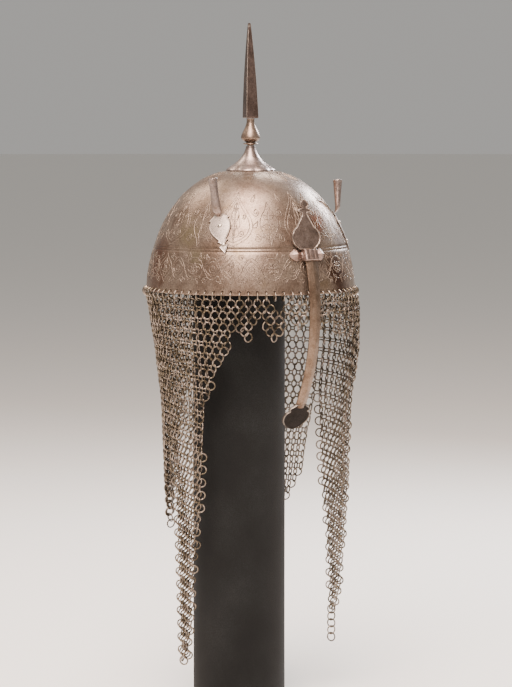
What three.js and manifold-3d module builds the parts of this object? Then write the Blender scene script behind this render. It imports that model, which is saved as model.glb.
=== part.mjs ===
// A kulah khud: a Persian bowl helmet with a spike, two plume sockets, a sliding nasal
// and a mail aventail, resting on its plain display post.
// Millimetres, +Z up. The helmet's own axis is Z, its front (the nasal) is -Y, the wearer's
// left is +X, and the origin is where that axis meets the underside of the display post.
import * as THREE from 'three';
import { mergeGeometries, mergeVertices } from 'three/addons/utils/BufferGeometryUtils.js';
import Module from 'manifold-3d';

const wasm = await Module();
wasm.setup();

// Driving dimensions
const RIM_HEIGHT = 415;
const SEAT_GAP = 0.3;

const BOWL_RADIUS = 104.3;
const BOWL_HEIGHT = 120;
const BOWL_WALL = 1.8;
const BOWL_SHOULDER_POWER = 1.7;
const BOWL_FULLNESS_POWER = 2.55;
const RIM_HOLE_COUNT = 76;
const RIM_HOLE_DIAMETER = 2;
const RIM_HOLE_HEIGHT = 3.5;
const BOWL_OUTER_RINGS = 10;
const BOWL_INNER_RINGS = 7;

const FOOT_RADIUS = 24.2;
const FOOT_LOBES = 8;
const FOOT_LOBE_DEPTH = 1.1;
const FOOT_LOBE_START = 0.6;
const FOOT_HEIGHT = 24;
const FOOT_EDGE = 0.9;
const FOOT_NECK_RADIUS = 4.6;
const KNOP_HEIGHT = 27;
const KNOP_RADIUS = 9.5;
const KNOP_FACETS = 20;
const BLADE_LENGTH = 95;
const BLADE_SIDE = 12.4;
const BLADE_TURN = -14.5;
const BLADE_SEAT_INSET = 3.2;

const SOCKET_ANGLE = 55.6;
const SOCKET_SPREAD = 0.5;
const SOCKET_TUBE_BASE = BOWL_HEIGHT * 0.617;
const SOCKET_TUBE_LENGTH = 37;
const SOCKET_TUBE_STANDOFF = 5.5;
const SOCKET_TUBE_TOP_RADIUS = 4.7;
const SOCKET_TUBE_BASE_RADIUS = 3.5;
const SOCKET_BORE = 5.6;
const SOCKET_BORE_DEPTH = 34;
const SOCKET_LEAN = 8;
const SOCKET_PLATE_LENGTH = 40;
const SOCKET_PLATE_HALF_WIDTH = 10.9;
const SOCKET_PLATE_THICKNESS = 1.6;
const SOCKET_PLATE_TOP = BOWL_HEIGHT * 0.642;
const SOCKET_PLATE_TILT = 17;
const SOCKET_PLATE_BEVEL = 0.7;
const RIVET_HEAD_RADIUS = 1.7;
const RIVET_HEAD_HEIGHT = 1.1;

const NASAL_ARC_RADIUS = 185;
const NASAL_STANDOFF = 7.7;
const NASAL_CENTRE_BEHIND = NASAL_ARC_RADIUS - BOWL_RADIUS - NASAL_STANDOFF;
const NASAL_CENTRE_BELOW_RIM = 17.5;
const NASAL_BAR_THICKNESS = 3.2;
const NASAL_BAR_TOP_WIDTH = 13;
const NASAL_BAR_FOOT_WIDTH = 11.6;
const NASAL_EDGE_THICKNESS = 1.7;
const NASAL_FOOT_ANGLE = -29.4;
const NASAL_PLATE_LENGTH = 47.9;
const NASAL_PLATE_HALF_WIDTH = 17.7;
const NASAL_PLATE_THICKNESS = 2.4;
const NASAL_PLATE_TILT = 13.9;
const NASAL_PLATE_BEVEL = 1.2;
const NASAL_PLATE_SEAT = 0.5;
const NASAL_BAR_FOOT_OVERLAP = 1.5;
const NASAL_BAR_TOP_OVERLAP = 1;
const TERMINAL_LENGTH = 31;
const TERMINAL_HALF_WIDTH = 15.4;

const BRACKET_HEIGHT = 11;
const BRACKET_MIDDLE = BOWL_HEIGHT / 3;
const BRACKET_HALF_WIDTH = 21;
const BRACKET_EDGE = 1;
const BRACKET_WING_LIFT = 3.4;
const BRACKET_CHEEK = 1.3;
const BRACKET_BRIDGE = 1.5;
const BRACKET_DEPTH = 18;
const SLIDE_GAP = 0.35;

const MAIL_WALL = 3;
const MAIL_TOP_INSET = 0.7;
const MAIL_TOP_RADIUS = BOWL_RADIUS - MAIL_TOP_INSET;
const FRONT_POINT_DROP = 47;
const SIDE_TAIL_DROP = 367;
const BACK_TAIL_DROP = 244;
const MAIL_COLUMN_STEP = 5;
const MAIL_ROWS = 6;

const POST_RADIUS = 46;
const POST_SHIFT_X = -10;
const POST_SHIFT_Y = 6;
const POST_FACETS = 40;
const POST_FOOT_BEVEL = 1.5;
const BELOW_GROUND = -1;

// The mail's radius and its swing to the wearer's left, at each share of the side tails' drop
const MAIL_DRAPE = [
  { drop: 0, radius: 1, swing: 0.01 },
  { drop: 0.065, radius: 0.99, swing: 0.039 },
  { drop: 0.163, radius: 0.96, swing: 0.063 },
  { drop: 0.3, radius: 0.902, swing: 0.063 },
  { drop: 0.463, radius: 0.876, swing: 0.063 },
  { drop: 0.654, radius: 0.864, swing: 0.072 },
  { drop: 0.817, radius: 0.857, swing: 0.082 },
  { drop: 1, radius: 0.849, swing: 0.087 },
];
const MAIL_SWING_ANGLE = 60;

// The lower edge of the mail from the nasal to the middle of the back, on each side.
// Angles are from the front in degrees, drops are shares of the size that each row names.
const FRONT_EDGE = [
  { angle: 0, share: 0.43, of: FRONT_POINT_DROP },
  { angle: 7.1, share: 1, of: FRONT_POINT_DROP },
  { angle: 14.2, share: 0.44, of: FRONT_POINT_DROP },
  { angle: 21.3, share: 1, of: FRONT_POINT_DROP },
  { angle: 28.4, share: 0.43, of: FRONT_POINT_DROP },
  { angle: 35.5, share: 0.98, of: FRONT_POINT_DROP },
  { angle: 39, share: 0.66, of: FRONT_POINT_DROP },
];
const RIGHT_SIDE_EDGE = [
  { angle: 43, share: 0.093, of: SIDE_TAIL_DROP },
  { angle: 47, share: 0.163, of: SIDE_TAIL_DROP },
  { angle: 55, share: 0.229, of: SIDE_TAIL_DROP },
  { angle: 62.5, share: 0.294, of: SIDE_TAIL_DROP },
  { angle: 65, share: 0.56, of: SIDE_TAIL_DROP },
  { angle: 69.5, share: 0.62, of: SIDE_TAIL_DROP },
  { angle: 75.5, share: 0.757, of: SIDE_TAIL_DROP },
  { angle: 79.5, share: 0.899, of: SIDE_TAIL_DROP },
  { angle: 85, share: 0.995, of: SIDE_TAIL_DROP },
  { angle: 95, share: 1, of: SIDE_TAIL_DROP },
  { angle: 100, share: 0.965, of: SIDE_TAIL_DROP },
  { angle: 101.5, share: 0.67, of: SIDE_TAIL_DROP },
  { angle: 102.5, share: 0.39, of: SIDE_TAIL_DROP },
  { angle: 106, share: 0.78, of: BACK_TAIL_DROP },
  { angle: 124.5, share: 0.8, of: BACK_TAIL_DROP },
  { angle: 131, share: 0.95, of: BACK_TAIL_DROP },
  { angle: 136, share: 0.99, of: BACK_TAIL_DROP },
  { angle: 148, share: 0.74, of: BACK_TAIL_DROP },
  { angle: 166, share: 0.46, of: BACK_TAIL_DROP },
];
const LEFT_SIDE_EDGE = [
  { angle: 43, share: 0.093, of: SIDE_TAIL_DROP },
  { angle: 47, share: 0.163, of: SIDE_TAIL_DROP },
  { angle: 55, share: 0.229, of: SIDE_TAIL_DROP },
  { angle: 60, share: 0.29, of: SIDE_TAIL_DROP },
  { angle: 62.5, share: 0.52, of: SIDE_TAIL_DROP },
  { angle: 69, share: 0.643, of: SIDE_TAIL_DROP },
  { angle: 75, share: 0.76, of: SIDE_TAIL_DROP },
  { angle: 79, share: 0.88, of: SIDE_TAIL_DROP },
  { angle: 82.5, share: 0.985, of: SIDE_TAIL_DROP },
  { angle: 87, share: 0.995, of: SIDE_TAIL_DROP },
  { angle: 89, share: 0.8, of: SIDE_TAIL_DROP },
  { angle: 92, share: 0.66, of: SIDE_TAIL_DROP },
  { angle: 97, share: 0.52, of: SIDE_TAIL_DROP },
  { angle: 101, share: 0.392, of: SIDE_TAIL_DROP },
  { angle: 106.5, share: 0.68, of: BACK_TAIL_DROP },
  { angle: 114, share: 0.81, of: BACK_TAIL_DROP },
  { angle: 120.5, share: 0.9, of: BACK_TAIL_DROP },
  { angle: 134.5, share: 1, of: BACK_TAIL_DROP },
  { angle: 148, share: 0.74, of: BACK_TAIL_DROP },
  { angle: 166, share: 0.46, of: BACK_TAIL_DROP },
];
const BACK_EDGE = { angle: 180, share: 0.39, of: BACK_TAIL_DROP };

// The nasal's upper plate from its foot to its leaf, the terminal from the bar down,
// and a socket's plate from its tip up: along and half are shares of length and half width.
const NASAL_PLATE_OUTLINE = [
  { along: 0, half: 0.62 },
  { along: 0.05, half: 0.79 },
  { along: 0.12, half: 0.94 },
  { along: 0.22, half: 1 },
  { along: 0.34, half: 0.91 },
  { along: 0.44, half: 0.67 },
  { along: 0.47, half: 0.58 },
  { along: 0.56, half: 0.38 },
  { along: 0.66, half: 0.2 },
  { along: 0.74, half: 0.18 },
  { along: 0.78, half: 0.4 },
  { along: 0.8, half: 0.28 },
  { along: 0.83, half: 0.16 },
  { along: 0.86, half: 0.25 },
  { along: 0.9, half: 0.28 },
  { along: 0.95, half: 0.18 },
  { along: 1, half: 0.02 },
];
const TERMINAL_OUTLINE = [
  { along: 0, half: 0.36 },
  { along: 0.07, half: 0.5 },
  { along: 0.13, half: 0.71 },
  { along: 0.22, half: 0.8 },
  { along: 0.27, half: 0.72 },
  { along: 0.33, half: 0.89 },
  { along: 0.44, half: 0.99 },
  { along: 0.56, half: 1 },
  { along: 0.69, half: 0.92 },
  { along: 0.81, half: 0.74 },
  { along: 0.91, half: 0.48 },
  { along: 0.97, half: 0.24 },
  { along: 1, half: 0.03 },
];
const SOCKET_PLATE_OUTLINE = [
  { along: 0, half: 0.03 },
  { along: 0.1, half: 0.24 },
  { along: 0.19, half: 0.42 },
  { along: 0.22, half: 0.24 },
  { along: 0.27, half: 0.28 },
  { along: 0.31, half: 0.5 },
  { along: 0.34, half: 0.36 },
  { along: 0.42, half: 0.57 },
  { along: 0.52, half: 0.81 },
  { along: 0.62, half: 0.95 },
  { along: 0.72, half: 1 },
  { along: 0.8, half: 0.94 },
  { along: 0.84, half: 0.83 },
  { along: 0.87, half: 0.96 },
  { along: 0.92, half: 0.79 },
  { along: 0.97, half: 0.5 },
  { along: 1, half: 0.37 },
];
const SOCKET_RIVETS = [0.22, 0.7];
const RIVET_FACETS = 10;
const RIVET_PROFILE = [
  { height: 0, radius: 0 },
  { height: 0, radius: 1 },
  { height: 0.6, radius: 0.85 },
  { height: 0.92, radius: 0.45 },
  { height: 1, radius: 0 },
];

// Half of the nasal's bracket from its middle out: a waist, then a pyramid wing
const BRACKET_OUTLINE = [
  { along: 0, height: 0.8, lift: 0.4 },
  { along: 0.4, height: 0.62, lift: 0.4 },
  { along: 0.5, height: 0.8, lift: 0.55 },
  { along: 0.67, height: 1, lift: 1 },
  { along: 0.86, height: 0.62, lift: 0.55 },
  { along: 1, height: 0.1, lift: 0.3 },
];

// The trumpet foot and the pear knop: shares of their height and of their largest radius
const FOOT_PROFILE = [
  { height: 0.09, radius: 0.85 },
  { height: 0.2, radius: 0.66 },
  { height: 0.31, radius: 0.52 },
  { height: 0.46, radius: 0.38 },
  { height: 0.62, radius: 0.28 },
  { height: 0.8, radius: 0.225 },
];
const KNOP_PROFILE = [
  { height: 0, radius: 0.47 },
  { height: 0.05, radius: 0.47 },
  { height: 0.07, radius: 0.78 },
  { height: 0.115, radius: 0.78 },
  { height: 0.135, radius: 0.5 },
  { height: 0.19, radius: 0.56 },
  { height: 0.25, radius: 0.86 },
  { height: 0.33, radius: 1 },
  { height: 0.42, radius: 0.97 },
  { height: 0.55, radius: 0.79 },
  { height: 0.7, radius: 0.57 },
  { height: 0.85, radius: 0.42 },
  { height: 1, radius: 0.37 },
];
const BLADE_PROFILE = [
  { along: 0.03, side: 1 },
  { along: 0.18, side: 0.93 },
  { along: 0.39, side: 0.82 },
  { along: 0.6, side: 0.64 },
  { along: 0.81, side: 0.39 },
  { along: 0.97, side: 0.12 },
  { along: 1, side: 0.03 },
];

// Directions: alpha is the angle about the helmet's axis from the front towards the left
const radians = THREE.MathUtils.degToRad;
function outward(alpha) {
  return new THREE.Vector3(Math.sin(alpha), -Math.cos(alpha), 0);
}
function aside(alpha) {
  return new THREE.Vector3(Math.cos(alpha), Math.sin(alpha), 0);
}
function at(radius, alpha, height) {
  return outward(alpha).multiplyScalar(radius).setZ(height);
}
function between(table, key, value, column) {
  let i = 0;
  while (i < table.length - 2 && table[i + 1][key] < value) i += 1;
  const low = table[i];
  const high = table[i + 1];
  const share = (value - low[key]) / (high[key] - low[key]);
  return low[column] + (high[column] - low[column]) * share;
}

// Solids: every geometry is merged, freed of flat triangles and turned to face outwards
function closedGeometry(positions, indices) {
  const rough = new THREE.BufferGeometry();
  rough.setAttribute('position', new THREE.Float32BufferAttribute(positions, 3));
  rough.setIndex(indices);
  return rough;
}
function signedVolume(points, indices) {
  let volume = 0;
  const a = new THREE.Vector3();
  const b = new THREE.Vector3();
  const c = new THREE.Vector3();
  for (let i = 0; i < indices.length; i += 3) {
    a.fromBufferAttribute(points, indices[i]);
    b.fromBufferAttribute(points, indices[i + 1]);
    c.fromBufferAttribute(points, indices[i + 2]);
    volume += a.dot(b.cross(c)) / 6;
  }
  return volume;
}
function tidy(geometry) {
  const bare = geometry.clone();
  bare.deleteAttribute('normal');
  bare.deleteAttribute('uv');
  const merged = mergeVertices(bare, 1e-4);
  const index = merged.index.array;
  const kept = [];
  for (let i = 0; i < index.length; i += 3) {
    const [a, b, c] = [index[i], index[i + 1], index[i + 2]];
    if (a !== b && b !== c && c !== a) kept.push(a, b, c);
  }
  if (signedVolume(merged.attributes.position, kept) < 0) kept.reverse();
  merged.setIndex(kept);
  return merged;
}
function solidOf(geometry) {
  const clean = tidy(geometry);
  return new wasm.Manifold(new wasm.Mesh({
    numProp: 3,
    vertProperties: new Float32Array(clean.attributes.position.array),
    triVerts: new Uint32Array(clean.index.array),
  }));
}
function geometryOf(solid) {
  const mesh = solid.getMesh();
  return closedGeometry(Array.from(mesh.vertProperties), Array.from(mesh.triVerts));
}

// A skin over a row of closed loops of points, capped at both ends or closed into a ring
function skin(loops, ring) {
  const sides = loops[0].length;
  const positions = loops.flat().flatMap((point) => [point.x, point.y, point.z]);
  const indices = [];
  const spans = ring ? loops.length : loops.length - 1;
  for (let i = 0; i < spans; i += 1) {
    const here = i * sides;
    const next = ((i + 1) % loops.length) * sides;
    for (let j = 0; j < sides; j += 1) {
      const k = (j + 1) % sides;
      indices.push(here + j, here + k, next + k, here + j, next + k, next + j);
    }
  }
  if (!ring) {
    const last = (loops.length - 1) * sides;
    for (let j = 1; j < sides - 1; j += 1) {
      indices.push(0, j + 1, j);
      indices.push(last, last + j, last + j + 1);
    }
  }
  return closedGeometry(positions, indices);
}

// A lathe about the helmet's axis from [radius, height] pairs
function turned(profile, segments) {
  const points = profile.map(([radius, height]) => new THREE.Vector2(radius, height));
  return new THREE.LatheGeometry(points, segments).rotateX(Math.PI / 2);
}

// The bowl's outline, grown or shrunk by a margin
function bowlRadius(height, margin = 0) {
  const share = Math.min(Math.max(height, 0) / (BOWL_HEIGHT + margin), 1);
  return (BOWL_RADIUS + margin) * (1 - share ** BOWL_SHOULDER_POWER) ** (1 / BOWL_FULLNESS_POWER);
}
function bowlArc(margin, steps) {
  const points = [];
  for (let i = 0; i <= steps; i += 1) {
    const turn = (Math.PI / 2) * (i / steps);
    const radius = (BOWL_RADIUS + margin) * Math.cos(turn) ** (2 / BOWL_FULLNESS_POWER);
    const height = (BOWL_HEIGHT + margin) * Math.sin(turn) ** (2 / BOWL_SHOULDER_POWER);
    points.push([i === steps ? 0 : radius, RIM_HEIGHT + height]);
  }
  return points;
}

// A place on the bowl: a height above the rim, lifted off the surface along its normal
const SLOPE_STEP = 0.5;
function bowlSlope(height) {
  const rise = bowlRadius(height + SLOPE_STEP) - bowlRadius(height - SLOPE_STEP);
  return Math.atan2(-rise, 2 * SLOPE_STEP);
}
function onBowl(alpha, height, lift) {
  const slope = bowlSlope(height);
  const radius = bowlRadius(height) + lift * Math.cos(slope);
  return at(radius, alpha, RIM_HEIGHT + height + lift * Math.sin(slope));
}
function heightAlong(start, travel) {
  const steps = Math.max(1, Math.ceil(Math.abs(travel)));
  let height = start;
  for (let i = 0; i < steps; i += 1) height += (travel / steps) * Math.cos(bowlSlope(height));
  return height;
}

// A flat plate with bevelled edges, from an outline table, laid out by a place function
// that takes a distance across, a distance along and a lift
const PLATE_SPANS = [-1, -0.5, 0, 0.5, 1];
const PLATE_LEAST_FLAT = 0.4;
function plate(outline, length, halfWidth, thickness, bevel, place) {
  const loops = outline.map((row) => {
    const half = halfWidth * row.half;
    const flat = Math.max(half - bevel, half * PLATE_LEAST_FLAT);
    const along = length * row.along;
    const under = PLATE_SPANS.map((span) => place(half * span, along, 0));
    const over = PLATE_SPANS.map((span) => {
      const edge = Math.abs(span) === 1;
      const across = edge ? half * span : flat * span * 2;
      return place(across, along, edge ? thickness / 2 : thickness);
    });
    return [...under, ...over.reverse()];
  });
  return skin(loops, false);
}

// A drill through the bowl's wall: a cylinder stands along its own Y, which is turned outwards
function radialDrill(alpha, height) {
  const radius = RIM_HOLE_DIAMETER / 2;
  const drill = new THREE.CylinderGeometry(radius, radius, BOWL_WALL * 4, 6);
  const down = new THREE.Vector3(0, 0, -1);
  drill.applyMatrix4(new THREE.Matrix4().makeBasis(aside(alpha), outward(alpha), down));
  const middle = at(bowlRadius(height) - BOWL_WALL / 2, alpha, RIM_HEIGHT + height);
  return drill.translate(middle.x, middle.y, middle.z);
}

function skullBowl() {
  const profile = [...bowlArc(0, BOWL_OUTER_RINGS).reverse(), ...bowlArc(-BOWL_WALL, BOWL_INNER_RINGS)];
  let shell = solidOf(turned(profile, RIM_HOLE_COUNT));
  const drills = [];
  for (let i = 0; i < RIM_HOLE_COUNT; i += 1) {
    const alpha = ((i + 0.5) / RIM_HOLE_COUNT) * 2 * Math.PI;
    drills.push(tidy(radialDrill(alpha, RIM_HOLE_HEIGHT)));
  }
  shell = shell.subtract(solidOf(mergeGeometries(drills)));
  return geometryOf(shell);
}

// The bowl's outside grown by a gap, or its inside shrunk by one and carried down to the ground
function bowlEnvelope(gap) {
  return solidOf(turned([[0, RIM_HEIGHT], ...bowlArc(gap, 12)], RIM_HOLE_COUNT));
}
function bowlInside(gap) {
  const inside = bowlArc(-BOWL_WALL - gap, BOWL_INNER_RINGS);
  return solidOf(turned([[0, BELOW_GROUND], [inside[0][0], BELOW_GROUND], ...inside], RIM_HOLE_COUNT / 2));
}

function spikeFoot() {
  const base = RIM_HEIGHT + BOWL_HEIGHT + SEAT_GAP;
  const underside = [];
  for (const share of [0, 0.5, 0.8, 1]) {
    const radius = FOOT_RADIUS * share;
    const dip = 1 - (1 - (radius / BOWL_RADIUS) ** BOWL_FULLNESS_POWER) ** (1 / BOWL_SHOULDER_POWER);
    underside.push([radius, base - BOWL_HEIGHT * dip]);
  }
  const rim = underside[underside.length - 1];
  const profile = [
    ...underside,
    [rim[0], rim[1] + FOOT_EDGE],
    ...FOOT_PROFILE.map((row) => [FOOT_RADIUS * row.radius, base + FOOT_HEIGHT * row.height]),
    [FOOT_NECK_RADIUS, base + FOOT_HEIGHT],
    [0, base + FOOT_HEIGHT],
  ];
  const foot = turned(profile, FOOT_LOBES * 3);
  const points = foot.attributes.position;
  for (let i = 0; i < points.count; i += 1) {
    const x = points.getX(i);
    const y = points.getY(i);
    const reach = Math.max(Math.hypot(x, y) / FOOT_RADIUS - FOOT_LOBE_START, 0) / (1 - FOOT_LOBE_START);
    const lobe = Math.cos(FOOT_LOBES * Math.atan2(y, x));
    const scale = 1 + (FOOT_LOBE_DEPTH / FOOT_RADIUS) * lobe * reach;
    points.setXY(i, x * scale, y * scale);
  }
  return foot;
}

const KNOP_BASE = RIM_HEIGHT + BOWL_HEIGHT + FOOT_HEIGHT + 2 * SEAT_GAP;
function spikeKnop() {
  const profile = KNOP_PROFILE.map((row) => (
    [KNOP_RADIUS * row.radius, KNOP_BASE + KNOP_HEIGHT * row.height]
  ));
  return turned([[0, KNOP_BASE], ...profile, [0, KNOP_BASE + KNOP_HEIGHT]], KNOP_FACETS);
}

// A four-sided blade: a lathe of four facets, whose corners lie half a diagonal out
function spikeBlade() {
  const base = KNOP_BASE + KNOP_HEIGHT + SEAT_GAP;
  const corner = BLADE_SIDE / Math.SQRT2;
  const foot = [0, base];
  const seat = [corner - BLADE_SEAT_INSET, base];
  const edges = BLADE_PROFILE.map((row) => [corner * row.side, base + BLADE_LENGTH * row.along]);
  const blade = turned([foot, seat, ...edges, [0, base + BLADE_LENGTH]], 4);
  return blade.rotateZ(radians(BLADE_TURN + 45));
}

// A socket's plate lies on the bowl: across and along are measured from its top middle,
// and the whole plate is tilted so that its tip points towards the nasal
function socketPlace(side) {
  const alpha = radians(SOCKET_ANGLE) * side;
  const tilt = radians(SOCKET_PLATE_TILT) * side;
  return (across, along, lift) => {
    const down = SOCKET_PLATE_LENGTH - along;
    const sideways = across * Math.cos(tilt) - down * Math.sin(tilt);
    const fall = down * Math.cos(tilt) + across * Math.sin(tilt);
    const height = heightAlong(SOCKET_PLATE_TOP, -fall);
    return onBowl(alpha + sideways / bowlRadius(height), height, SEAT_GAP + lift);
  };
}
function plumeSocket(side) {
  const place = socketPlace(side);
  const flange = plate(
    SOCKET_PLATE_OUTLINE, SOCKET_PLATE_LENGTH, SOCKET_PLATE_HALF_WIDTH, SOCKET_PLATE_THICKNESS,
    SOCKET_PLATE_BEVEL, place,
  );
  const alpha = radians(SOCKET_ANGLE + SOCKET_SPREAD) * side;
  const upright = (radiusTop, radiusBase, length, start) => {
    const tube = new THREE.CylinderGeometry(radiusTop, radiusBase, length, 16);
    tube.rotateX(Math.PI / 2).translate(0, 0, start + length / 2);
    tube.rotateY(radians(SOCKET_LEAN) * side).rotateZ(alpha);
    const standing = bowlRadius(SOCKET_TUBE_BASE) + SOCKET_TUBE_STANDOFF;
    const foot = at(standing, alpha, RIM_HEIGHT + SOCKET_TUBE_BASE);
    return tube.translate(foot.x, foot.y, foot.z);
  };
  const tube = upright(SOCKET_TUBE_TOP_RADIUS, SOCKET_TUBE_BASE_RADIUS, SOCKET_TUBE_LENGTH, 0);
  const boreStart = SOCKET_TUBE_LENGTH - SOCKET_BORE_DEPTH;
  const bore = upright(SOCKET_BORE / 2, SOCKET_BORE / 2, SOCKET_TUBE_LENGTH, boreStart);
  const joined = solidOf(flange).add(solidOf(tube)).subtract(solidOf(bore));
  return geometryOf(joined);
}
function socketRivet(side, share) {
  const profile = RIVET_PROFILE.map((row) => (
    new THREE.Vector2(RIVET_HEAD_RADIUS * row.radius, RIVET_HEAD_HEIGHT * row.height)
  ));
  const head = new THREE.LatheGeometry(profile, RIVET_FACETS);
  const place = socketPlace(side);
  const along = SOCKET_PLATE_LENGTH * share;
  const low = place(0, along, SOCKET_PLATE_THICKNESS + SEAT_GAP);
  const high = place(0, along, SOCKET_PLATE_THICKNESS + SEAT_GAP + 1);
  const up = high.sub(low).normalize();
  const turn = new THREE.Quaternion().setFromUnitVectors(new THREE.Vector3(0, 1, 0), up);
  return head.applyQuaternion(turn).translate(low.x, low.y, low.z);
}

// The nasal lies in the plane of symmetry: its bar is an arc about the point it swings on
const NASAL_CENTRE = new THREE.Vector3(0, NASAL_CENTRE_BEHIND, RIM_HEIGHT - NASAL_CENTRE_BELOW_RIM);
function onNasalArc(angle, across, lift) {
  const radius = NASAL_ARC_RADIUS + lift;
  return new THREE.Vector3(
    across,
    NASAL_CENTRE.y - radius * Math.cos(angle),
    NASAL_CENTRE.z + radius * Math.sin(angle),
  );
}
function arcAngleAt(height) {
  return Math.asin((height + NASAL_CENTRE_BELOW_RIM) / NASAL_ARC_RADIUS);
}
const PLATE_FOOT_ANGLE = arcAngleAt(BRACKET_MIDDLE + BRACKET_HEIGHT / 2 + NASAL_PLATE_SEAT);
const BAR_TOP_ANGLE = PLATE_FOOT_ANGLE + radians(NASAL_BAR_TOP_OVERLAP);
const BAR_STEPS = 15;

function nasalBar() {
  const foot = radians(NASAL_FOOT_ANGLE - NASAL_BAR_FOOT_OVERLAP);
  const loops = [];
  for (let i = 0; i <= BAR_STEPS; i += 1) {
    const share = i / BAR_STEPS;
    const angle = foot + (BAR_TOP_ANGLE - foot) * share;
    const half = (NASAL_BAR_FOOT_WIDTH + (NASAL_BAR_TOP_WIDTH - NASAL_BAR_FOOT_WIDTH) * share) / 2;
    const back = -NASAL_BAR_THICKNESS / 2;
    const edge = back + NASAL_EDGE_THICKNESS;
    loops.push([
      onNasalArc(angle, -half, back),
      onNasalArc(angle, half, back),
      onNasalArc(angle, half, edge),
      onNasalArc(angle, 0, -back),
      onNasalArc(angle, -half, edge),
    ]);
  }
  return skin(loops, false);
}

// A plate that starts on the arc at an angle and runs along a straight line in the plane
function straightPlace(angle, direction, normal, backset) {
  const start = onNasalArc(angle, 0, 0);
  return (across, along, lift) => new THREE.Vector3(across, 0, 0)
    .add(start)
    .addScaledVector(direction, along)
    .addScaledVector(normal, lift + backset);
}
function nasal() {
  const tilt = radians(NASAL_PLATE_TILT);
  const upward = new THREE.Vector3(0, Math.sin(tilt), Math.cos(tilt));
  const facing = new THREE.Vector3(0, -Math.cos(tilt), Math.sin(tilt));
  const upper = plate(
    NASAL_PLATE_OUTLINE, NASAL_PLATE_LENGTH, NASAL_PLATE_HALF_WIDTH, NASAL_PLATE_THICKNESS,
    NASAL_PLATE_BEVEL, straightPlace(PLATE_FOOT_ANGLE, upward, facing, -NASAL_PLATE_THICKNESS / 2),
  );
  const foot = radians(NASAL_FOOT_ANGLE);
  const lean = foot - (TERMINAL_LENGTH / 2) / NASAL_ARC_RADIUS;
  const downward = new THREE.Vector3(0, -Math.sin(lean), -Math.cos(lean));
  const front = new THREE.Vector3(0, -Math.cos(lean), Math.sin(lean));
  const lower = plate(
    TERMINAL_OUTLINE, TERMINAL_LENGTH, TERMINAL_HALF_WIDTH, NASAL_PLATE_THICKNESS,
    NASAL_PLATE_BEVEL, straightPlace(foot, downward, front, -NASAL_PLATE_THICKNESS / 2),
  );
  return geometryOf(solidOf(nasalBar()).add(solidOf(upper)).add(solidOf(lower)));
}

// The bracket: a strap on the bowl with a pyramid wing on each side of a bridge over the bar
function nasalBracket() {
  const rows = [
    ...BRACKET_OUTLINE.slice().reverse().map((row) => ({ ...row, side: -1 })),
    ...BRACKET_OUTLINE.slice(1).map((row) => ({ ...row, side: 1 })),
  ];
  const loops = rows.map((row) => {
    const across = BRACKET_HALF_WIDTH * row.along * row.side;
    const alpha = across / BOWL_RADIUS;
    const half = (BRACKET_HEIGHT / 2) * row.height;
    const crest = BRACKET_EDGE + (BRACKET_WING_LIFT - BRACKET_EDGE) * row.lift;
    return [
      onBowl(alpha, BRACKET_MIDDLE - half, SEAT_GAP),
      onBowl(alpha, BRACKET_MIDDLE + half, SEAT_GAP),
      onBowl(alpha, BRACKET_MIDDLE + half, SEAT_GAP + BRACKET_EDGE),
      onBowl(alpha, BRACKET_MIDDLE, SEAT_GAP + crest),
      onBowl(alpha, BRACKET_MIDDLE - half, SEAT_GAP + BRACKET_EDGE),
    ];
  });
  const middle = arcAngleAt(BRACKET_MIDDLE);
  const slotHalfWidth = NASAL_BAR_TOP_WIDTH / 2 + SLIDE_GAP;
  const slotHalfDepth = NASAL_BAR_THICKNESS / 2 + SLIDE_GAP;
  const blockHalfWidth = slotHalfWidth + BRACKET_CHEEK;
  const blockFront = slotHalfDepth + BRACKET_BRIDGE;
  const halfTurn = BRACKET_HEIGHT / 2 / NASAL_ARC_RADIUS;
  const chamfer = BRACKET_BRIDGE * 0.8;
  const bridge = [];
  const slot = [];
  for (const share of [-1, -0.33, 0.33, 1]) {
    const angle = middle + halfTurn * share;
    bridge.push([
      onNasalArc(angle, -blockHalfWidth, -BRACKET_DEPTH),
      onNasalArc(angle, blockHalfWidth, -BRACKET_DEPTH),
      onNasalArc(angle, blockHalfWidth, blockFront - chamfer),
      onNasalArc(angle, blockHalfWidth - chamfer, blockFront),
      onNasalArc(angle, -blockHalfWidth + chamfer, blockFront),
      onNasalArc(angle, -blockHalfWidth, blockFront - chamfer),
    ]);
    const beyond = middle + halfTurn * share * 2;
    slot.push([
      onNasalArc(beyond, -slotHalfWidth, -slotHalfDepth),
      onNasalArc(beyond, slotHalfWidth, -slotHalfDepth),
      onNasalArc(beyond, slotHalfWidth, slotHalfDepth),
      onNasalArc(beyond, -slotHalfWidth, slotHalfDepth),
    ]);
  }
  const strap = solidOf(skin(loops, false));
  const bracket = solidOf(skin(bridge, false)).add(strap);
  return geometryOf(bracket.subtract(solidOf(skin(slot, false))).subtract(bowlEnvelope(SEAT_GAP)));
}

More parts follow.
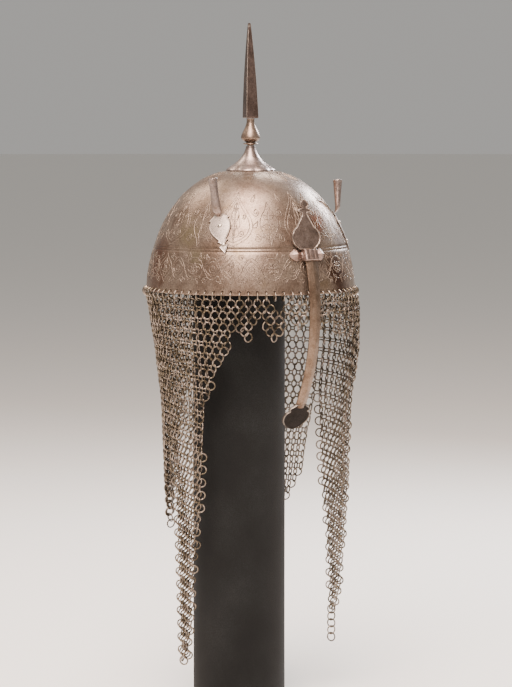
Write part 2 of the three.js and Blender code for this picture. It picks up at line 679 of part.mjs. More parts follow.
// The mail: a wall whose lower edge follows the edge tables and whose radius shrinks with depth
function mailEdge() {
  const left = [...FRONT_EDGE, ...LEFT_SIDE_EDGE, BACK_EDGE];
  const right = [...FRONT_EDGE, ...RIGHT_SIDE_EDGE].slice(1).reverse();
  const corners = [
    ...left.map((row) => ({ angle: row.angle, drop: row.share * row.of })),
    ...right.map((row) => ({ angle: 360 - row.angle, drop: row.share * row.of })),
  ];
  const columns = [];
  corners.forEach((corner, i) => {
    const next = i + 1 < corners.length ? corners[i + 1] : { ...corners[0], angle: 360 };
    const steps = Math.ceil((next.angle - corner.angle) / MAIL_COLUMN_STEP);
    for (let k = 0; k < steps; k += 1) {
      const share = k / steps;
      columns.push({
        angle: corner.angle + (next.angle - corner.angle) * share,
        drop: corner.drop + (next.drop - corner.drop) * share,
      });
    }
  });
  return columns;
}
function mailRadius(alpha, drop) {
  const share = drop / SIDE_TAIL_DROP;
  const radius = between(MAIL_DRAPE, 'drop', share, 'radius');
  const swing = between(MAIL_DRAPE, 'drop', share, 'swing');
  return MAIL_TOP_RADIUS * (radius + swing * Math.cos(alpha - radians(MAIL_SWING_ANGLE)));
}
function mailAventail() {
  const top = RIM_HEIGHT - SEAT_GAP;
  const loops = mailEdge().map(({ angle, drop }) => {
    const alpha = radians(angle);
    const outside = [];
    const inside = [];
    for (let j = 0; j <= MAIL_ROWS; j += 1) {
      const depth = drop * (j / MAIL_ROWS);
      const radius = mailRadius(alpha, depth);
      outside.push(at(radius + MAIL_WALL / 2, alpha, top - depth));
      inside.push(at(radius - MAIL_WALL / 2, alpha, top - depth));
    }
    return [...outside, ...inside.reverse()];
  });
  return skin(loops, true);
}

// The plain post: a cylinder from the ground up into the bowl, rounded to fit under its crown
function displayPost() {
  const column = turned([
    [0, 0],
    [POST_RADIUS - POST_FOOT_BEVEL, 0],
    [POST_RADIUS, POST_FOOT_BEVEL],
    [POST_RADIUS, RIM_HEIGHT + BOWL_HEIGHT],
    [0, RIM_HEIGHT + BOWL_HEIGHT],
  ], POST_FACETS).translate(POST_SHIFT_X, POST_SHIFT_Y, 0);
  return geometryOf(solidOf(column).intersect(bowlInside(SEAT_GAP)));
}

// Finishes
const STEEL_BROWN = new THREE.MeshStandardMaterial({ color: 0x8b7a6c, roughness: 0.42, metalness: 0.9 });
const STEEL_GREY = new THREE.MeshStandardMaterial({ color: 0x93877d, roughness: 0.38, metalness: 0.9 });
const STEEL_DARK = new THREE.MeshStandardMaterial({ color: 0x6f6257, roughness: 0.5, metalness: 0.85 });
const MAIL_STEEL = new THREE.MeshStandardMaterial({ color: 0x9a9287, roughness: 0.45, metalness: 0.85 });
const POST_FELT = new THREE.MeshStandardMaterial({ color: 0x1d2022, roughness: 0.95, metalness: 0 });

const helmet = new THREE.Group();
function addPiece(name, geometry, material) {
  const mesh = new THREE.Mesh(tidy(geometry), material);
  mesh.name = name;
  helmet.add(mesh);
}

addPiece('display_post', displayPost(), POST_FELT);
addPiece('skull_bowl', skullBowl(), STEEL_BROWN);
addPiece('mail_aventail', mailAventail(), MAIL_STEEL);
addPiece('spike_foot', spikeFoot(), STEEL_GREY);
addPiece('spike_knop', spikeKnop(), STEEL_GREY);
addPiece('spike_blade', spikeBlade(), STEEL_GREY);
for (const [label, side] of [['left', 1], ['right', -1]]) {
  addPiece(`plume_socket_${label}`, plumeSocket(side), STEEL_GREY);
  SOCKET_RIVETS.forEach((share, i) => {
    addPiece(`socket_rivet_${label}_${i + 1}`, socketRivet(side, share), STEEL_DARK);
  });
}
addPiece('nasal_bracket', nasalBracket(), STEEL_GREY);
addPiece('nasal', nasal(), STEEL_DARK);

export default helmet;
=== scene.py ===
# %% [markdown]
# # A kulah khud on its display post
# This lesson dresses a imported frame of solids: a Persian bowl helmet with a spike, two plume
# sockets, a sliding nasal and a skirt of mail. The frame says where each piece is, in metres,
# with the helmet's axis on Z and its front towards -Y. Nothing in the frame is moved here.

# %% Load the frame
import math

import bmesh
import bpy
import numpy as np
from mathutils import Matrix, Vector


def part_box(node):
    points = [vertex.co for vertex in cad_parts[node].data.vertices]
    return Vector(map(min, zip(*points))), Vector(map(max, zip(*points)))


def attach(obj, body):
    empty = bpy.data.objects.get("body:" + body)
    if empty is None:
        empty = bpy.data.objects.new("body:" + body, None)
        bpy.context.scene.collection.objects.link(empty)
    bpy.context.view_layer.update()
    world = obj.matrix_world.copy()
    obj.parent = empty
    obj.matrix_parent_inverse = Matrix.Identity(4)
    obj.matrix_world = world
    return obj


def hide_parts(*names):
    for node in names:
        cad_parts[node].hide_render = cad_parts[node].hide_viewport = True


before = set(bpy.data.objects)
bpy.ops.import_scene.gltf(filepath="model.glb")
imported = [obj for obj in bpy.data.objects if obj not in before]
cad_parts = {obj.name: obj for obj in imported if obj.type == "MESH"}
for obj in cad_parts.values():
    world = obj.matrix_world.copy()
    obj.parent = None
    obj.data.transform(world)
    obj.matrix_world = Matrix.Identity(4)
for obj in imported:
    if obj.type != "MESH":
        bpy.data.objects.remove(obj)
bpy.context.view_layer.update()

# %% [markdown]
# ## Sizes
# The bowl is a surface of revolution whose outline is a superellipse, and almost everything
# else lies on it or hangs from it. The same few sizes that shape the solids are kept here,
# so a rivet or a ring can be placed by its angle from the front and its height on the bowl.

# %% Sizes and places
MM = 0.001
DEGREE = math.radians(1)
RIM_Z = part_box("skull_bowl")[0][2]
BOWL_RADIUS = 104.3 * MM
BOWL_HEIGHT = 120 * MM
BOWL_WALL = 1.8 * MM
SHOULDER_POWER = 1.7
FULLNESS_POWER = 2.55
SEAT_GAP = 0.3 * MM
RIM_HOLES = 76
HOLE_HEIGHT = 3.5 * MM


def bowl_radius(height, margin=0.0):
    share = np.clip(np.asarray(height, float) / (BOWL_HEIGHT + margin), 0, 1)
    return (BOWL_RADIUS + margin) * (1 - share ** SHOULDER_POWER) ** (1 / FULLNESS_POWER)


def bowl_height(radius, margin=0.0):
    share = min(radius / (BOWL_RADIUS + margin), 1)
    return (BOWL_HEIGHT + margin) * (1 - share ** FULLNESS_POWER) ** (1 / SHOULDER_POWER)


def bowl_slope(height):
    step = 0.5 * MM
    low = np.clip(np.asarray(height, float) - step, 0, BOWL_HEIGHT - 2 * step)
    return np.arctan2(bowl_radius(low) - bowl_radius(low + 2 * step), 2 * step)


def at(radius, alpha, z):
    """Points at a radius and an angle from the front, positive towards the wearer's left"""
    alpha = np.asarray(alpha, float)
    return np.stack(np.broadcast_arrays(radius * np.sin(alpha), -radius * np.cos(alpha), z), -1)


def off_axis(point):
    return math.hypot(point.x, point.y)


def on_bowl(alpha, height, lift):
    """Points lifted off the bowl's outside along its normal"""
    slope = bowl_slope(height)
    radius = bowl_radius(height) + lift * np.cos(slope)
    return at(radius, alpha, RIM_Z + height + lift * np.sin(slope))


ARC_HEIGHTS = np.linspace(0, 1, 400) ** 0.8 * BOWL_HEIGHT * 0.999
ARC_STEPS = np.hypot(np.diff(ARC_HEIGHTS), np.diff(bowl_radius(ARC_HEIGHTS)))
ARC_LENGTHS = np.concatenate([[0], np.cumsum(ARC_STEPS)])


def climb(height, travel):
    """The height reached by walking a distance up or down the bowl's outside"""
    start = np.interp(height, ARC_HEIGHTS, ARC_LENGTHS)
    return np.interp(start + travel, ARC_LENGTHS, ARC_HEIGHTS)


print("rim at", round(RIM_Z, 4), "m, bowl's arc is", round(ARC_LENGTHS[-1] / MM, 1), "mm long")

# %% [markdown]
# ## The camera
# The photograph was taken with a long lens from the wearer's right of the front, a little
# above the rim. At the helmet's axis one pixel is one millimetre, which fixes the lens once
# the distance is chosen. The aim is shifted sideways so the spike stands left of the middle.

# %% Camera
FRAME_WIDTH = 512
FRAME_HEIGHT = 687
SENSOR = 36.0
CAMERA_AZIMUTH = -34.5 * DEGREE
CAMERA_DISTANCE = 3.0
CAMERA_ABOVE_RIM = 190 * MM
PIXEL_AT_AXIS = 1.0 * MM
SPIKE_PIXEL_X = 250.6
AIM_BELOW_RIM = 54.5 * MM
FAR_CLIP = 100
CAMERA_SIDE = Vector(at(1, CAMERA_AZIMUTH, 0))
CAMERA_RIGHT = Vector(at(1, CAMERA_AZIMUTH + math.pi / 2, 0))


def new_object(name, data):
    thing = bpy.data.objects.new(name, data)
    bpy.context.collection.objects.link(thing)
    return thing


def mesh_from(bm, name):
    mesh = bpy.data.meshes.new(name)
    bm.to_mesh(mesh)
    bm.free()
    return mesh


def look_from(thing, place, target):
    """Put a camera or a light at a place and turn it to a target"""
    thing.location = place
    thing.rotation_euler = (target - place).to_track_quat("-Z", "Y").to_euler()


def make_camera():
    reach = math.hypot(CAMERA_DISTANCE, CAMERA_ABOVE_RIM)
    shift = CAMERA_RIGHT * (FRAME_WIDTH / 2 - SPIKE_PIXEL_X) * PIXEL_AT_AXIS
    place = Vector((0, 0, RIM_Z + CAMERA_ABOVE_RIM)) + CAMERA_SIDE * CAMERA_DISTANCE + shift
    data = bpy.data.cameras.new("photo_camera")
    data.sensor_width = SENSOR
    data.lens = SENSOR * (reach / PIXEL_AT_AXIS) / FRAME_HEIGHT
    data.clip_end = FAR_CLIP
    camera = new_object("photo_camera", data)
    look_from(camera, place, Vector((0, 0, RIM_Z - AIM_BELOW_RIM)) + shift)
    bpy.context.scene.camera = camera
    return data.lens


print("lens", round(make_camera(), 1), "mm")

# %% [markdown]
# ## Colours and nodes
# Colours are written as the sRGB hex values an eye would pick, and turned to linear light by
# one function. One more function adds a shader node with its settings and its links, so a
# material reads as a short list of what feeds what.

# %% Helpers for materials
def linear(code):
    channels = [int(code[i:i + 2], 16) / 255 for i in (1, 3, 5)]
    return tuple(c / 12.92 if c <= 0.04045 else ((c + 0.055) / 1.055) ** 2.4 for c in channels) + (1.0,)


def add_node(tree, kind, inputs=None, stops=(), **settings):
    """A node with its settings, a ramp's (position, hex colour) stops and its linked or fixed inputs"""
    node = tree.nodes.new("ShaderNode" + kind)
    for name, value in settings.items():
        setattr(node, name, value)
    for i, (position, code) in enumerate(stops):
        elements = node.color_ramp.elements
        element = elements[i] if i < len(elements) else elements.new(position)
        element.position = position
        element.color = linear(code)
    for name, value in (inputs or {}).items():
        if isinstance(value, bpy.types.NodeSocket):
            tree.links.new(value, node.inputs[name])
        else:
            node.inputs[name].default_value = value
    return node


def new_material(name):
    material = bpy.data.materials.new(name)
    material.use_nodes = True
    material.node_tree.nodes.clear()
    return material, material.node_tree


def finish_material(tree, shader):
    add_node(tree, "OutputMaterial", {"Surface": shader.outputs["BSDF"]})


print("colours and nodes are ready, white is", linear("#ffffff"))

# %% [markdown]
# ## The stage
# The floor is a plain pale disc and the light is soft. A tall softbox hangs high in front of
# the helmet, which draws the pink sheen down the bowl's middle. A second one stands behind at
# the right, whose grazing reflection is the white band down the right flank, and two high at
# the back and the left light the spike's foot and the shoulders of the bowl.

# %% Floor and lights
FLOOR_RADIUS = 30.0
FLOOR_COLOUR = "#f4f1ec"
WORLD_COLOUR = "#e8e5e1"
WORLD_STRENGTH = 0.5


def make_floor():
    bm = bmesh.new()
    bmesh.ops.create_circle(bm, cap_ends=True, segments=96, radius=FLOOR_RADIUS)
    mesh = mesh_from(bm, "studio_floor")
    floor = new_object("studio_floor", mesh)
    # Matte paper: pale and even, without a shine, so that only soft light comes back from it
    material, tree = new_material("matte_paper_floor")
    shader = add_node(tree, "BsdfPrincipled", {"Base Color": linear(FLOOR_COLOUR), "Roughness": 0.9})
    finish_material(tree, shader)
    mesh.materials.append(material)


def make_light(name, around, height, distance, width, tall, power, colour):
    """An area light placed by its angle from the camera's direction, aimed at the bowl"""
    place = Vector(at(1, CAMERA_AZIMUTH + around * DEGREE, 0)) * distance
    place.z = RIM_Z + height
    data = bpy.data.lights.new(name, "AREA")
    data.shape = "RECTANGLE"
    data.size = width
    data.size_y = tall
    data.energy = power
    data.color = linear(colour)[:3]
    look_from(new_object(name, data), place, Vector((0, 0, RIM_Z)))


def make_world():
    world = bpy.data.worlds.new("studio_air")
    world.use_nodes = True
    world.node_tree.nodes.clear()
    sky = add_node(world.node_tree, "Background",
                   {"Color": linear(WORLD_COLOUR), "Strength": WORLD_STRENGTH})
    add_node(world.node_tree, "OutputWorld", {"Surface": sky.outputs["Background"]})
    bpy.context.scene.world = world


make_floor()
make_world()
make_light("key_softbox", -10, 2.0, 1.25, 1.25, 2.8, 236, "#ffeade")
make_light("right_softbox", 145, 0.78, 1.6, 0.42, 0.5, 36, "#f4f7ff")
make_light("back_softbox", 172, 1.35, 1.5, 0.5, 0.45, 9, "#fff4ec")
make_light("left_softbox", -128, 1.45, 1.35, 0.9, 0.6, 16, "#ffeedd")
print("four lights over a floor", FLOOR_RADIUS, "m in radius")

# %% [markdown]
# ## Making pieces
# Each piece is a bmesh turned into an object that sits at the origin, so its place is in its
# mesh and it can ride on a body of the frame. Most pieces take the place of one plain solid.
# Profiles come as short tables; a smooth curve is drawn through their rows, except at rows
# marked as corners, where the maker's file left an edge.

# %% Helpers for pieces
SAME_POINT = 1e-7
CORNER = True


def add_piece(name, mesh, material, body, replaced=()):
    piece = new_object(name, mesh)
    mesh.materials.append(material)
    mesh.shade_smooth()
    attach(piece, body)
    if replaced:
        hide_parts(*replaced)
    print(name, "faces:", len(mesh.polygons))
    return piece


def mesh_of(bm, name, sharp_angle=None):
    """Close the doubles, point the faces outwards and mark the edges that stay crisp"""
    bmesh.ops.remove_doubles(bm, verts=bm.verts, dist=SAME_POINT)
    bmesh.ops.recalc_face_normals(bm, faces=bm.faces)
    if sharp_angle is not None:
        for edge in bm.edges:
            edge.smooth = not edge.is_manifold or edge.calc_face_angle(0) < sharp_angle * DEGREE
    return mesh_from(bm, name)


def smooth_rows(rows, steps):
    """Rows of (place, value) filled in by a curve that breaks only at rows marked CORNER"""
    filled = []
    for i in range(len(rows) - 1):
        start, end = rows[i], rows[i + 1]
        before = start if i == 0 or CORNER in start[2:] else rows[i - 1]
        after = end if i + 2 == len(rows) or CORNER in end[2:] else rows[i + 2]
        for k in range(steps):
            t = k / steps
            point = []
            for axis in (0, 1):
                p0, p1, p2, p3 = before[axis], start[axis], end[axis], after[axis]
                point.append(0.5 * (2 * p1 + (p2 - p0) * t + (2 * p0 - 5 * p1 + 4 * p2 - p3) * t ** 2
                                    + (3 * p1 - p0 - 3 * p2 + p3) * t ** 3))
            filled.append(tuple(point))
    filled.append(rows[-1][:2])
    return filled


def spin(bm, geom, steps):
    bmesh.ops.spin(bm, geom=geom, axis=(0, 0, 1), cent=(0, 0, 0), angle=math.tau, steps=steps,
                   use_merge=True)


def spun(profile, segments):
    """A closed body spun about Z from (radius, z) points that start and end on the axis"""
    bm = bmesh.new()
    verts = [bm.verts.new((max(radius, 0), 0, z)) for radius, z in profile]
    spin(bm, verts + [bm.edges.new(pair) for pair in zip(verts, verts[1:])], segments)
    return bm


def turned(profile, segments, name, sharp_angle=40):
    return mesh_of(spun(profile, segments), name, sharp_angle)


def shaped_grid(across, along, place, name, sharp_angle=35, marks=None):
    """A slab cut from a unit grid: place gives each point from across, along and top or bottom"""
    bm = bmesh.new()
    layers = {label: bm.verts.layers.float.new(label) for label in (marks or {})}
    bmesh.ops.create_grid(bm, x_segments=across, y_segments=along, size=0.5)
    raised = bmesh.ops.extrude_face_region(bm, geom=bm.faces[:])
    for vert in raised["geom"]:
        if isinstance(vert, bmesh.types.BMVert):
            vert.co.z = 1
    for vert in bm.verts:
        i = round((vert.co.x + 0.5) * across)
        j = round((vert.co.y + 0.5) * along)
        for label, layer in layers.items():
            vert[layer] = float(marks[label][j][i])
        vert.co = place(i, j, vert.co.z > 0.5)
    return mesh_of(bm, name, sharp_angle)


print("a curve through three rows:", smooth_rows([(0, 0), (1, 1), (2, 0)], 2))

# %% [markdown]
# ## Old steel
# Forged iron and steel of this age is neither bright nor rusty. Its skin has gone a warm
# grey-brown, patchy at the scale of a thumb, with fine scratches from centuries of wiping.
# It is still a metal, so its sheen is broad and tinted by the patina. Three noises do the
# work: clouds of patina, small speckle, and long fine scratches that only change roughness.
# Two attributes that some meshes carry add what hands and time do, and some painted light:
# wear rubs an edge bright, and its tint also paints a highlight on the lit rims of the nasal's
# plates; soot darkens a groove or a single ring, and its dark also paints a shadow along the
# edges where the sockets' plates meet the bowl.

# %% Steel with a patina
TONE_STOPS = (0.3, 0.45, 0.58, 0.72)
DIRT_STOPS = [(0.35, "#9b948c"), (0.6, "#ffffff")]
DIRT_SHARE = 0.55
# A pale tint for wear and painted highlight, and a dark one for soot and painted shadow
MARK_TINTS = {"wear_and_highlight": "#eadbcd", "soot_and_shade": "#241c16"}
SPECKLE = 1.4 * MM
SCRATCH = 0.6 * MM
SCRATCH_STRETCH = (1.0, 1.0, 0.12)
GLOSS_BELOW = 0.08
GLOSS_ABOVE = 0.12
RELIEF = 0.2 * MM


def stain_and_painted_light(tree, colour, place, clouds, angle, height, radius, reach, tint, strength):
    """Tint a colour in a ragged patch about a point of the bowl, whose places are in millimetres"""
    middle = at(radius * MM, angle * DEGREE, RIM_Z + height * MM).tolist()
    reach = reach * MM
    away = add_node(tree, "VectorMath", {0: place, 1: middle}, operation="DISTANCE")
    ragged = add_node(tree, "Math", {0: clouds, 1: reach * 1.4, 2: away.outputs["Value"]},
                      operation="MULTIPLY_ADD")
    share = add_node(tree, "MapRange",
                     {"Value": ragged.outputs[0], 1: reach * 0.75, 2: reach * 1.6, 3: strength, 4: 0.0},
                     interpolation_type="SMOOTHSTEP")
    return add_node(tree, "Mix", {0: share.outputs[0], 6: colour, 7: linear(tint)},
                    data_type="RGBA").outputs[2]


def steel_material(name, tones, cloud_mm, rough, bump, metallic=0.9, stains_and_painted_light=()):
    """Steel from four tones, the size of its clouds, its roughness and the strength of its relief"""
    material, tree = new_material(name)
    place = add_node(tree, "TexCoord").outputs["Object"]
    clouds = add_node(tree, "TexNoise", {
        "Vector": place, "Scale": 1 / (cloud_mm * MM), "Detail": 5.0, "Roughness": 0.6}).outputs["Fac"]
    speckle = add_node(tree, "TexNoise", {
        "Vector": place, "Scale": 1 / SPECKLE, "Detail": 3.0, "Roughness": 0.7}).outputs["Fac"]
    colour = add_node(tree, "ValToRGB", {"Fac": clouds},
                      stops=list(zip(TONE_STOPS, tones.split()))).outputs["Color"]
    for row in stains_and_painted_light:
        colour = stain_and_painted_light(tree, colour, place, clouds, *row)
    dirt = add_node(tree, "ValToRGB", {"Fac": speckle}, stops=DIRT_STOPS).outputs["Color"]
    colour = add_node(tree, "Mix", {0: DIRT_SHARE, 6: colour, 7: dirt}, data_type="RGBA",
                      blend_type="MULTIPLY").outputs[2]
    for label, tint in MARK_TINTS.items():
        mark = add_node(tree, "Attribute", attribute_name=label).outputs["Fac"]
        colour = add_node(tree, "Mix", {0: mark, 6: colour, 7: linear(tint)},
                          data_type="RGBA").outputs[2]
    stretched = add_node(tree, "Mapping", {"Vector": place, "Scale": SCRATCH_STRETCH})
    scratches = add_node(tree, "TexNoise", {
        "Vector": stretched.outputs["Vector"], "Scale": 1 / SCRATCH, "Detail": 2.0}).outputs["Fac"]
    gloss = add_node(tree, "MapRange", {
        "Value": scratches, 1: 0.3, 2: 0.7, 3: rough - GLOSS_BELOW, 4: rough + GLOSS_ABOVE})
    height = add_node(tree, "Math", {0: clouds, 1: speckle}, operation="ADD")
    relief = add_node(tree, "Bump", {
        "Height": height.outputs[0], "Strength": bump, "Distance": RELIEF})
    shader = add_node(tree, "BsdfPrincipled", {
        "Base Color": colour, "Roughness": gloss.outputs[0], "Metallic": metallic,
        "Normal": relief.outputs["Normal"]})
    finish_material(tree, shader)
    return material


print("the patina has", len(TONE_STOPS), "tones and marks for", list(MARK_TINTS))

# %% [markdown]
# Each part was finished and handled in its own way, so each has its own steel. The four tones
# run from the deepest hollow of the patina to its palest cloud and back. Each stain, patch of
# painted shade and painted reflection on the bowl is a row of its angle, height and distance
# from the axis, its reach, its tint and strength.

# %% The steels of this helmet
BOWL_STAINS_AND_PAINTED_LIGHT = [
    # Painted shade low on the left flank, where the light falls off
    (-99, 30, 104, 48, "#65402a", 0.95),
    (-76, 58, 91, 26, "#998b6e", 0.6),
    (-68, 36, 98, 14, "#93886c", 0.5),
    # A warm brown painted reflection on the bowl beside the nasal's upper plate
    (16, 69, 84, 17, "#7d4c2c", 0.95),
    # Painted shade low on the right flank, below the reflected white band
    (24, 16, 102, 40, "#4a2d1b", 1.0),
    (110, 50, 90, 40, "#7d5a3e", 0.6),
    (190, 60, 90, 45, "#7c7656", 0.5),
]
# Raised sheet with a thin brown patina: a broad satin sheen with olive and rusty patches, painted shade low
# on both flanks and a warm brown painted reflection beside the nasal
bowl_steel = steel_material("patinated_forged_steel", "#6c594a #847163 #988677 #826f5b", 30, 0.35, 0.2,
                            metallic=0.86, stains_and_painted_light=BOWL_STAINS_AND_PAINTED_LIGHT)
# Filed and rubbed bright, then dulled: greyer than the bowl, with small clouds
fitting_steel = steel_material("filed_steel", "#79695f #978780 #aa9a93 #85756c", 12, 0.34, 0.14)
# Left dark under old wax: almost no sheen, with a painted highlight on its rims
dark_steel = steel_material("dark_nasal_steel", "#63564e #7b6b62 #8b7b72 #6b5d54", 10, 0.42, 0.35)
# Brown from handling, with a soft sheen along the ridge
bar_steel = steel_material("brown_nasal_bar_steel", "#5f4d3f #766353 #877464 #685647", 14, 0.4, 0.3)
# Painted shade: nearly black, as the lower end faces down away from the light, with a painted highlight on
# its raised edge
terminal_steel = steel_material("nasal_end_painted_shade", "#15110f #1d1916 #25201d #191614", 10, 0.5, 0.35,
                                metallic=1.0)
# Rubbed by every hand that raised the nasal: pinkish, with a worn, uneven sheen
bracket_steel = steel_material("rubbed_bracket_steel", "#6e5b53 #88746b #9b877e #786560", 8, 0.4, 0.3)
# Ground flat and left to tone: four even, dull, violet-brown faces
blade_steel = steel_material("ground_blade_steel", "#453932 #584b45 #675953 #4f433d", 16, 0.4, 0.25)
# Hammered heads, polished by wear: the brightest dots on the helmet
rivet_steel = steel_material("bright_rivet_steel", "#b5a697 #cdbfb2 #dccfc3 #bcad9f", 5, 0.3, 0.1)
# Drawn wire, rusted once and cleaned: golden-grey tops over brown hollows
wire_steel = steel_material("drawn_iron_wire", "#4c4335 #786d5c #a2958a #63584a", 9, 0.3, 0.2)
# The graver's raised lips, worn pale
inlay_light = steel_material("worn_engraved_ridge", "#7b6c60 #918275 #a09182 #837464", 8, 0.42, 0.1)
# The furrows, which hold old soot and oil, and the painted shadow that the lips cast beside them
inlay_dark_and_shadow = steel_material("blackened_engraving_and_painted_shadow", "#5c4f47 #6b5d55 #776961 #5e5149", 8, 0.46, 0.1)
print("steels:", [material.name for material in bpy.data.materials if "floor" not in material.name])

# %% [markdown]
# ## The bowl
# The real bowl was raised from one sheet and planished smooth. A spin of its outline gives
# the same surface. Two lines were turned into it with a point, and they are steps in the
# spun outline. The holes for the mail are drilled afterwards, as the smith did, by a boolean
# with one mesh that holds all the drills.

# %% Bowl
BOWL_SEGMENTS = RIM_HOLES * 3
GROOVES = (42.0 * MM, 44.6 * MM)
GROOVE_HALF = 0.4 * MM
GROOVE_DEPTH = 0.25 * MM
GROOVE_SOOT = 0.7
GROOVE_CLEAR = 1.6 * GROOVE_HALF
BOWL_EDGE = 0.35 * MM
HOLE_RADIUS = 1.05 * MM


def bowl_profile(margin, steps, grooves=()):
    points = []
    for i in range(steps + 1):
        turn = math.pi / 2 * i / steps
        height = (BOWL_HEIGHT + margin) * math.sin(turn) ** (2 / SHOULDER_POWER)
        radius = (BOWL_RADIUS + margin) * math.cos(turn) ** (2 / FULLNESS_POWER) if i < steps else 0
        if all(abs(height - groove) > GROOVE_CLEAR for groove in grooves):
            points.append((radius, height))
    for groove in grooves:
        for offset, depth in ((-1, 0), (-0.25, GROOVE_DEPTH), (0.25, GROOVE_DEPTH), (1, 0)):
            height = groove + offset * GROOVE_HALF
            points.append((float(bowl_radius(height, margin)) - depth, height))
    return [(radius, RIM_Z + height) for radius, height in sorted(points, key=lambda point: point[1])]


def make_bowl():
    outer = bowl_profile(0, 60, GROOVES)[::-1]
    inner = bowl_profile(-BOWL_WALL, 30)
    outer[-1] = (BOWL_RADIUS, RIM_Z + BOWL_EDGE)
    rim = [(BOWL_RADIUS - BOWL_EDGE, RIM_Z), (BOWL_RADIUS - BOWL_WALL + BOWL_EDGE, RIM_Z)]
    inner[0] = (BOWL_RADIUS - BOWL_WALL, RIM_Z + BOWL_EDGE)
    mesh = turned(outer + rim + inner, BOWL_SEGMENTS, "bowl_shell", 50)
    soot_and_shade = mesh.attributes.new("soot_and_shade", "FLOAT", "POINT").data
    for vert in mesh.vertices:
        height = vert.co.z - RIM_Z
        outside = off_axis(vert.co) > bowl_radius(height) - BOWL_WALL / 2
        in_groove = min(abs(height - groove) for groove in GROOVES) < 0.5 * GROOVE_HALF
        soot_and_shade[vert.index].value = GROOVE_SOOT if outside and in_groove else 0.0
    return mesh


def stood(place, direction):
    """A matrix that stands a mesh at a place with its Z along a direction"""
    return Matrix.Translation(place) @ direction.to_track_quat("Z", "Y").to_matrix().to_4x4()


def make_drills():
    bm = bmesh.new()
    for i in range(RIM_HOLES):
        alpha = (i + 0.5) / RIM_HOLES * math.tau
        middle = Vector(at(BOWL_RADIUS - BOWL_WALL / 2, alpha, RIM_Z + HOLE_HEIGHT))
        bmesh.ops.create_cone(bm, cap_ends=True, segments=12, radius1=HOLE_RADIUS, radius2=HOLE_RADIUS,
                              depth=BOWL_WALL * 3, matrix=stood(middle, Vector(at(1, alpha, 0))))
    return mesh_of(bm, "rim_drills")


def evaluated_mesh(thing):
    return bpy.data.meshes.new_from_object(thing.evaluated_get(bpy.context.evaluated_depsgraph_get()))


def combine(piece, tool_mesh, operation):
    """Unite a mesh with a piece, or cut it away, with a boolean"""
    tool = new_object("boolean_tool", tool_mesh)
    modifier = piece.modifiers.new("combine", "BOOLEAN")
    modifier.object = tool
    modifier.operation = operation
    modifier.solver = "EXACT"
    result = evaluated_mesh(piece)
    piece.modifiers.clear()
    piece.data = result
    bpy.data.objects.remove(tool)


bowl = add_piece("bowl_shell", make_bowl(), bowl_steel, "helmet", ["skull_bowl"])
combine(bowl, make_drills(), "DIFFERENCE")
print("bowl after drilling:", len(bowl.data.polygons), "faces")

# %% [markdown]
# ## The engraving
# The smith cut the ornament with a graver, so each line is a fine furrow with a raised, worn
# lip that catches the light. Cutting thousands of furrows into the bowl would need millions of
# faces. A thin pale wire laid half into the skin reads as the lip, and a thicker dark one sunk
# beside it, set a little aside and lower, reads as the furrow with its dirt and as the lip's
# painted shadow. Both are curves with a bevel, drawn on the unrolled bowl: x goes round it in
# millimetres at the rim, y is the height above the rim.

# %% Strokes on the bowl
REPEATS = 8
REPEAT_WIDTH = math.tau * BOWL_RADIUS / MM / REPEATS
LIP_RADIUS = 0.27 * MM
LIP_LIFT = -0.06 * MM
FURROW_RADIUS = 0.42 * MM
FURROW_LIFT = -0.27 * MM
# The dark wire sits aside and below the pale one, as the lip's painted shadow
FURROW_SHADOW_SHIFT = (0.45 * MM, -0.4 * MM)
STROKE_STEPS = 4
SPIRAL_STEPS = 10
SPIRAL_CLOSING = 0.78


def spiral(middle_x, middle_y, radius, start, turns, hand):
    """A vine's spiral as rows, wound inwards from its outside"""
    rows = []
    for k in range(int(turns * SPIRAL_STEPS) + 1):
        turn = start + hand * math.tau * k / SPIRAL_STEPS
        reach = radius * (1 - SPIRAL_CLOSING * k / (turns * SPIRAL_STEPS))
        rows.append((middle_x + reach * math.cos(turn), middle_y + reach * math.sin(turn)))
    return rows


def leaf(foot_x, foot_y, direction, length, width, curl):
    """A split leaf: a closed almond whose tip curls to one side"""
    ahead = Vector((math.cos(direction), math.sin(direction)))
    aside = Vector((-ahead.y, ahead.x))
    rows = []
    for along, out, *corner in ((0, 0), (0.3, 0.42), (0.65, 0.5), (1, curl, CORNER), (0.6, -0.2),
                                (0.25, -0.3), (0, 0)):
        point = Vector((foot_x, foot_y)) + ahead * length * along + aside * width * out
        rows.append((point.x, point.y, *corner))
    return rows


def all_round(motif, repeats):
    """Repeat half a motif round the bowl, with its mirror image"""
    width = math.tau * BOWL_RADIUS / MM / repeats
    strokes = []
    for k in range(repeats):
        for mirror in (1, -1):
            for rows in motif:
                strokes.append([(k * width + mirror * x, y) for x, y in smooth_rows(rows, STROKE_STEPS)])
    return strokes


def draw_strokes(name, strokes, radius, lift, shift, material):
    """Strokes laid on the bowl as bevelled curves and turned into one mesh"""
    curve = bpy.data.curves.new(name, "CURVE")
    curve.dimensions = "3D"
    curve.bevel_depth = radius
    curve.bevel_resolution = 0
    curve.use_fill_caps = True
    for stroke in strokes:
        flat = np.array(stroke) * MM
        places = on_bowl((flat[:, 0] + shift[0]) / BOWL_RADIUS, flat[:, 1] + shift[1], lift)
        spline = curve.splines.new("POLY")
        spline.points.add(len(places) - 1)
        spline.points.foreach_set("co", np.column_stack([places, np.ones(len(places))]).ravel())
    drawn = new_object(name, curve)
    mesh = evaluated_mesh(drawn)
    mesh.materials.clear()
    bpy.data.objects.remove(drawn)
    add_piece(name, mesh, material, "helmet")


print("one repeat of the ornament is", round(REPEAT_WIDTH, 1), "mm wide")

# %% [markdown]
# The lower band carries a chain of pointed medallions joined by two interlaced vines, with
# spirals and split leaves in the bays. It is a common border of the period. The upper
# register has tall pointed medallions with a spray of leaves, and a ring of petals closes
# the ornament round the spike's foot.

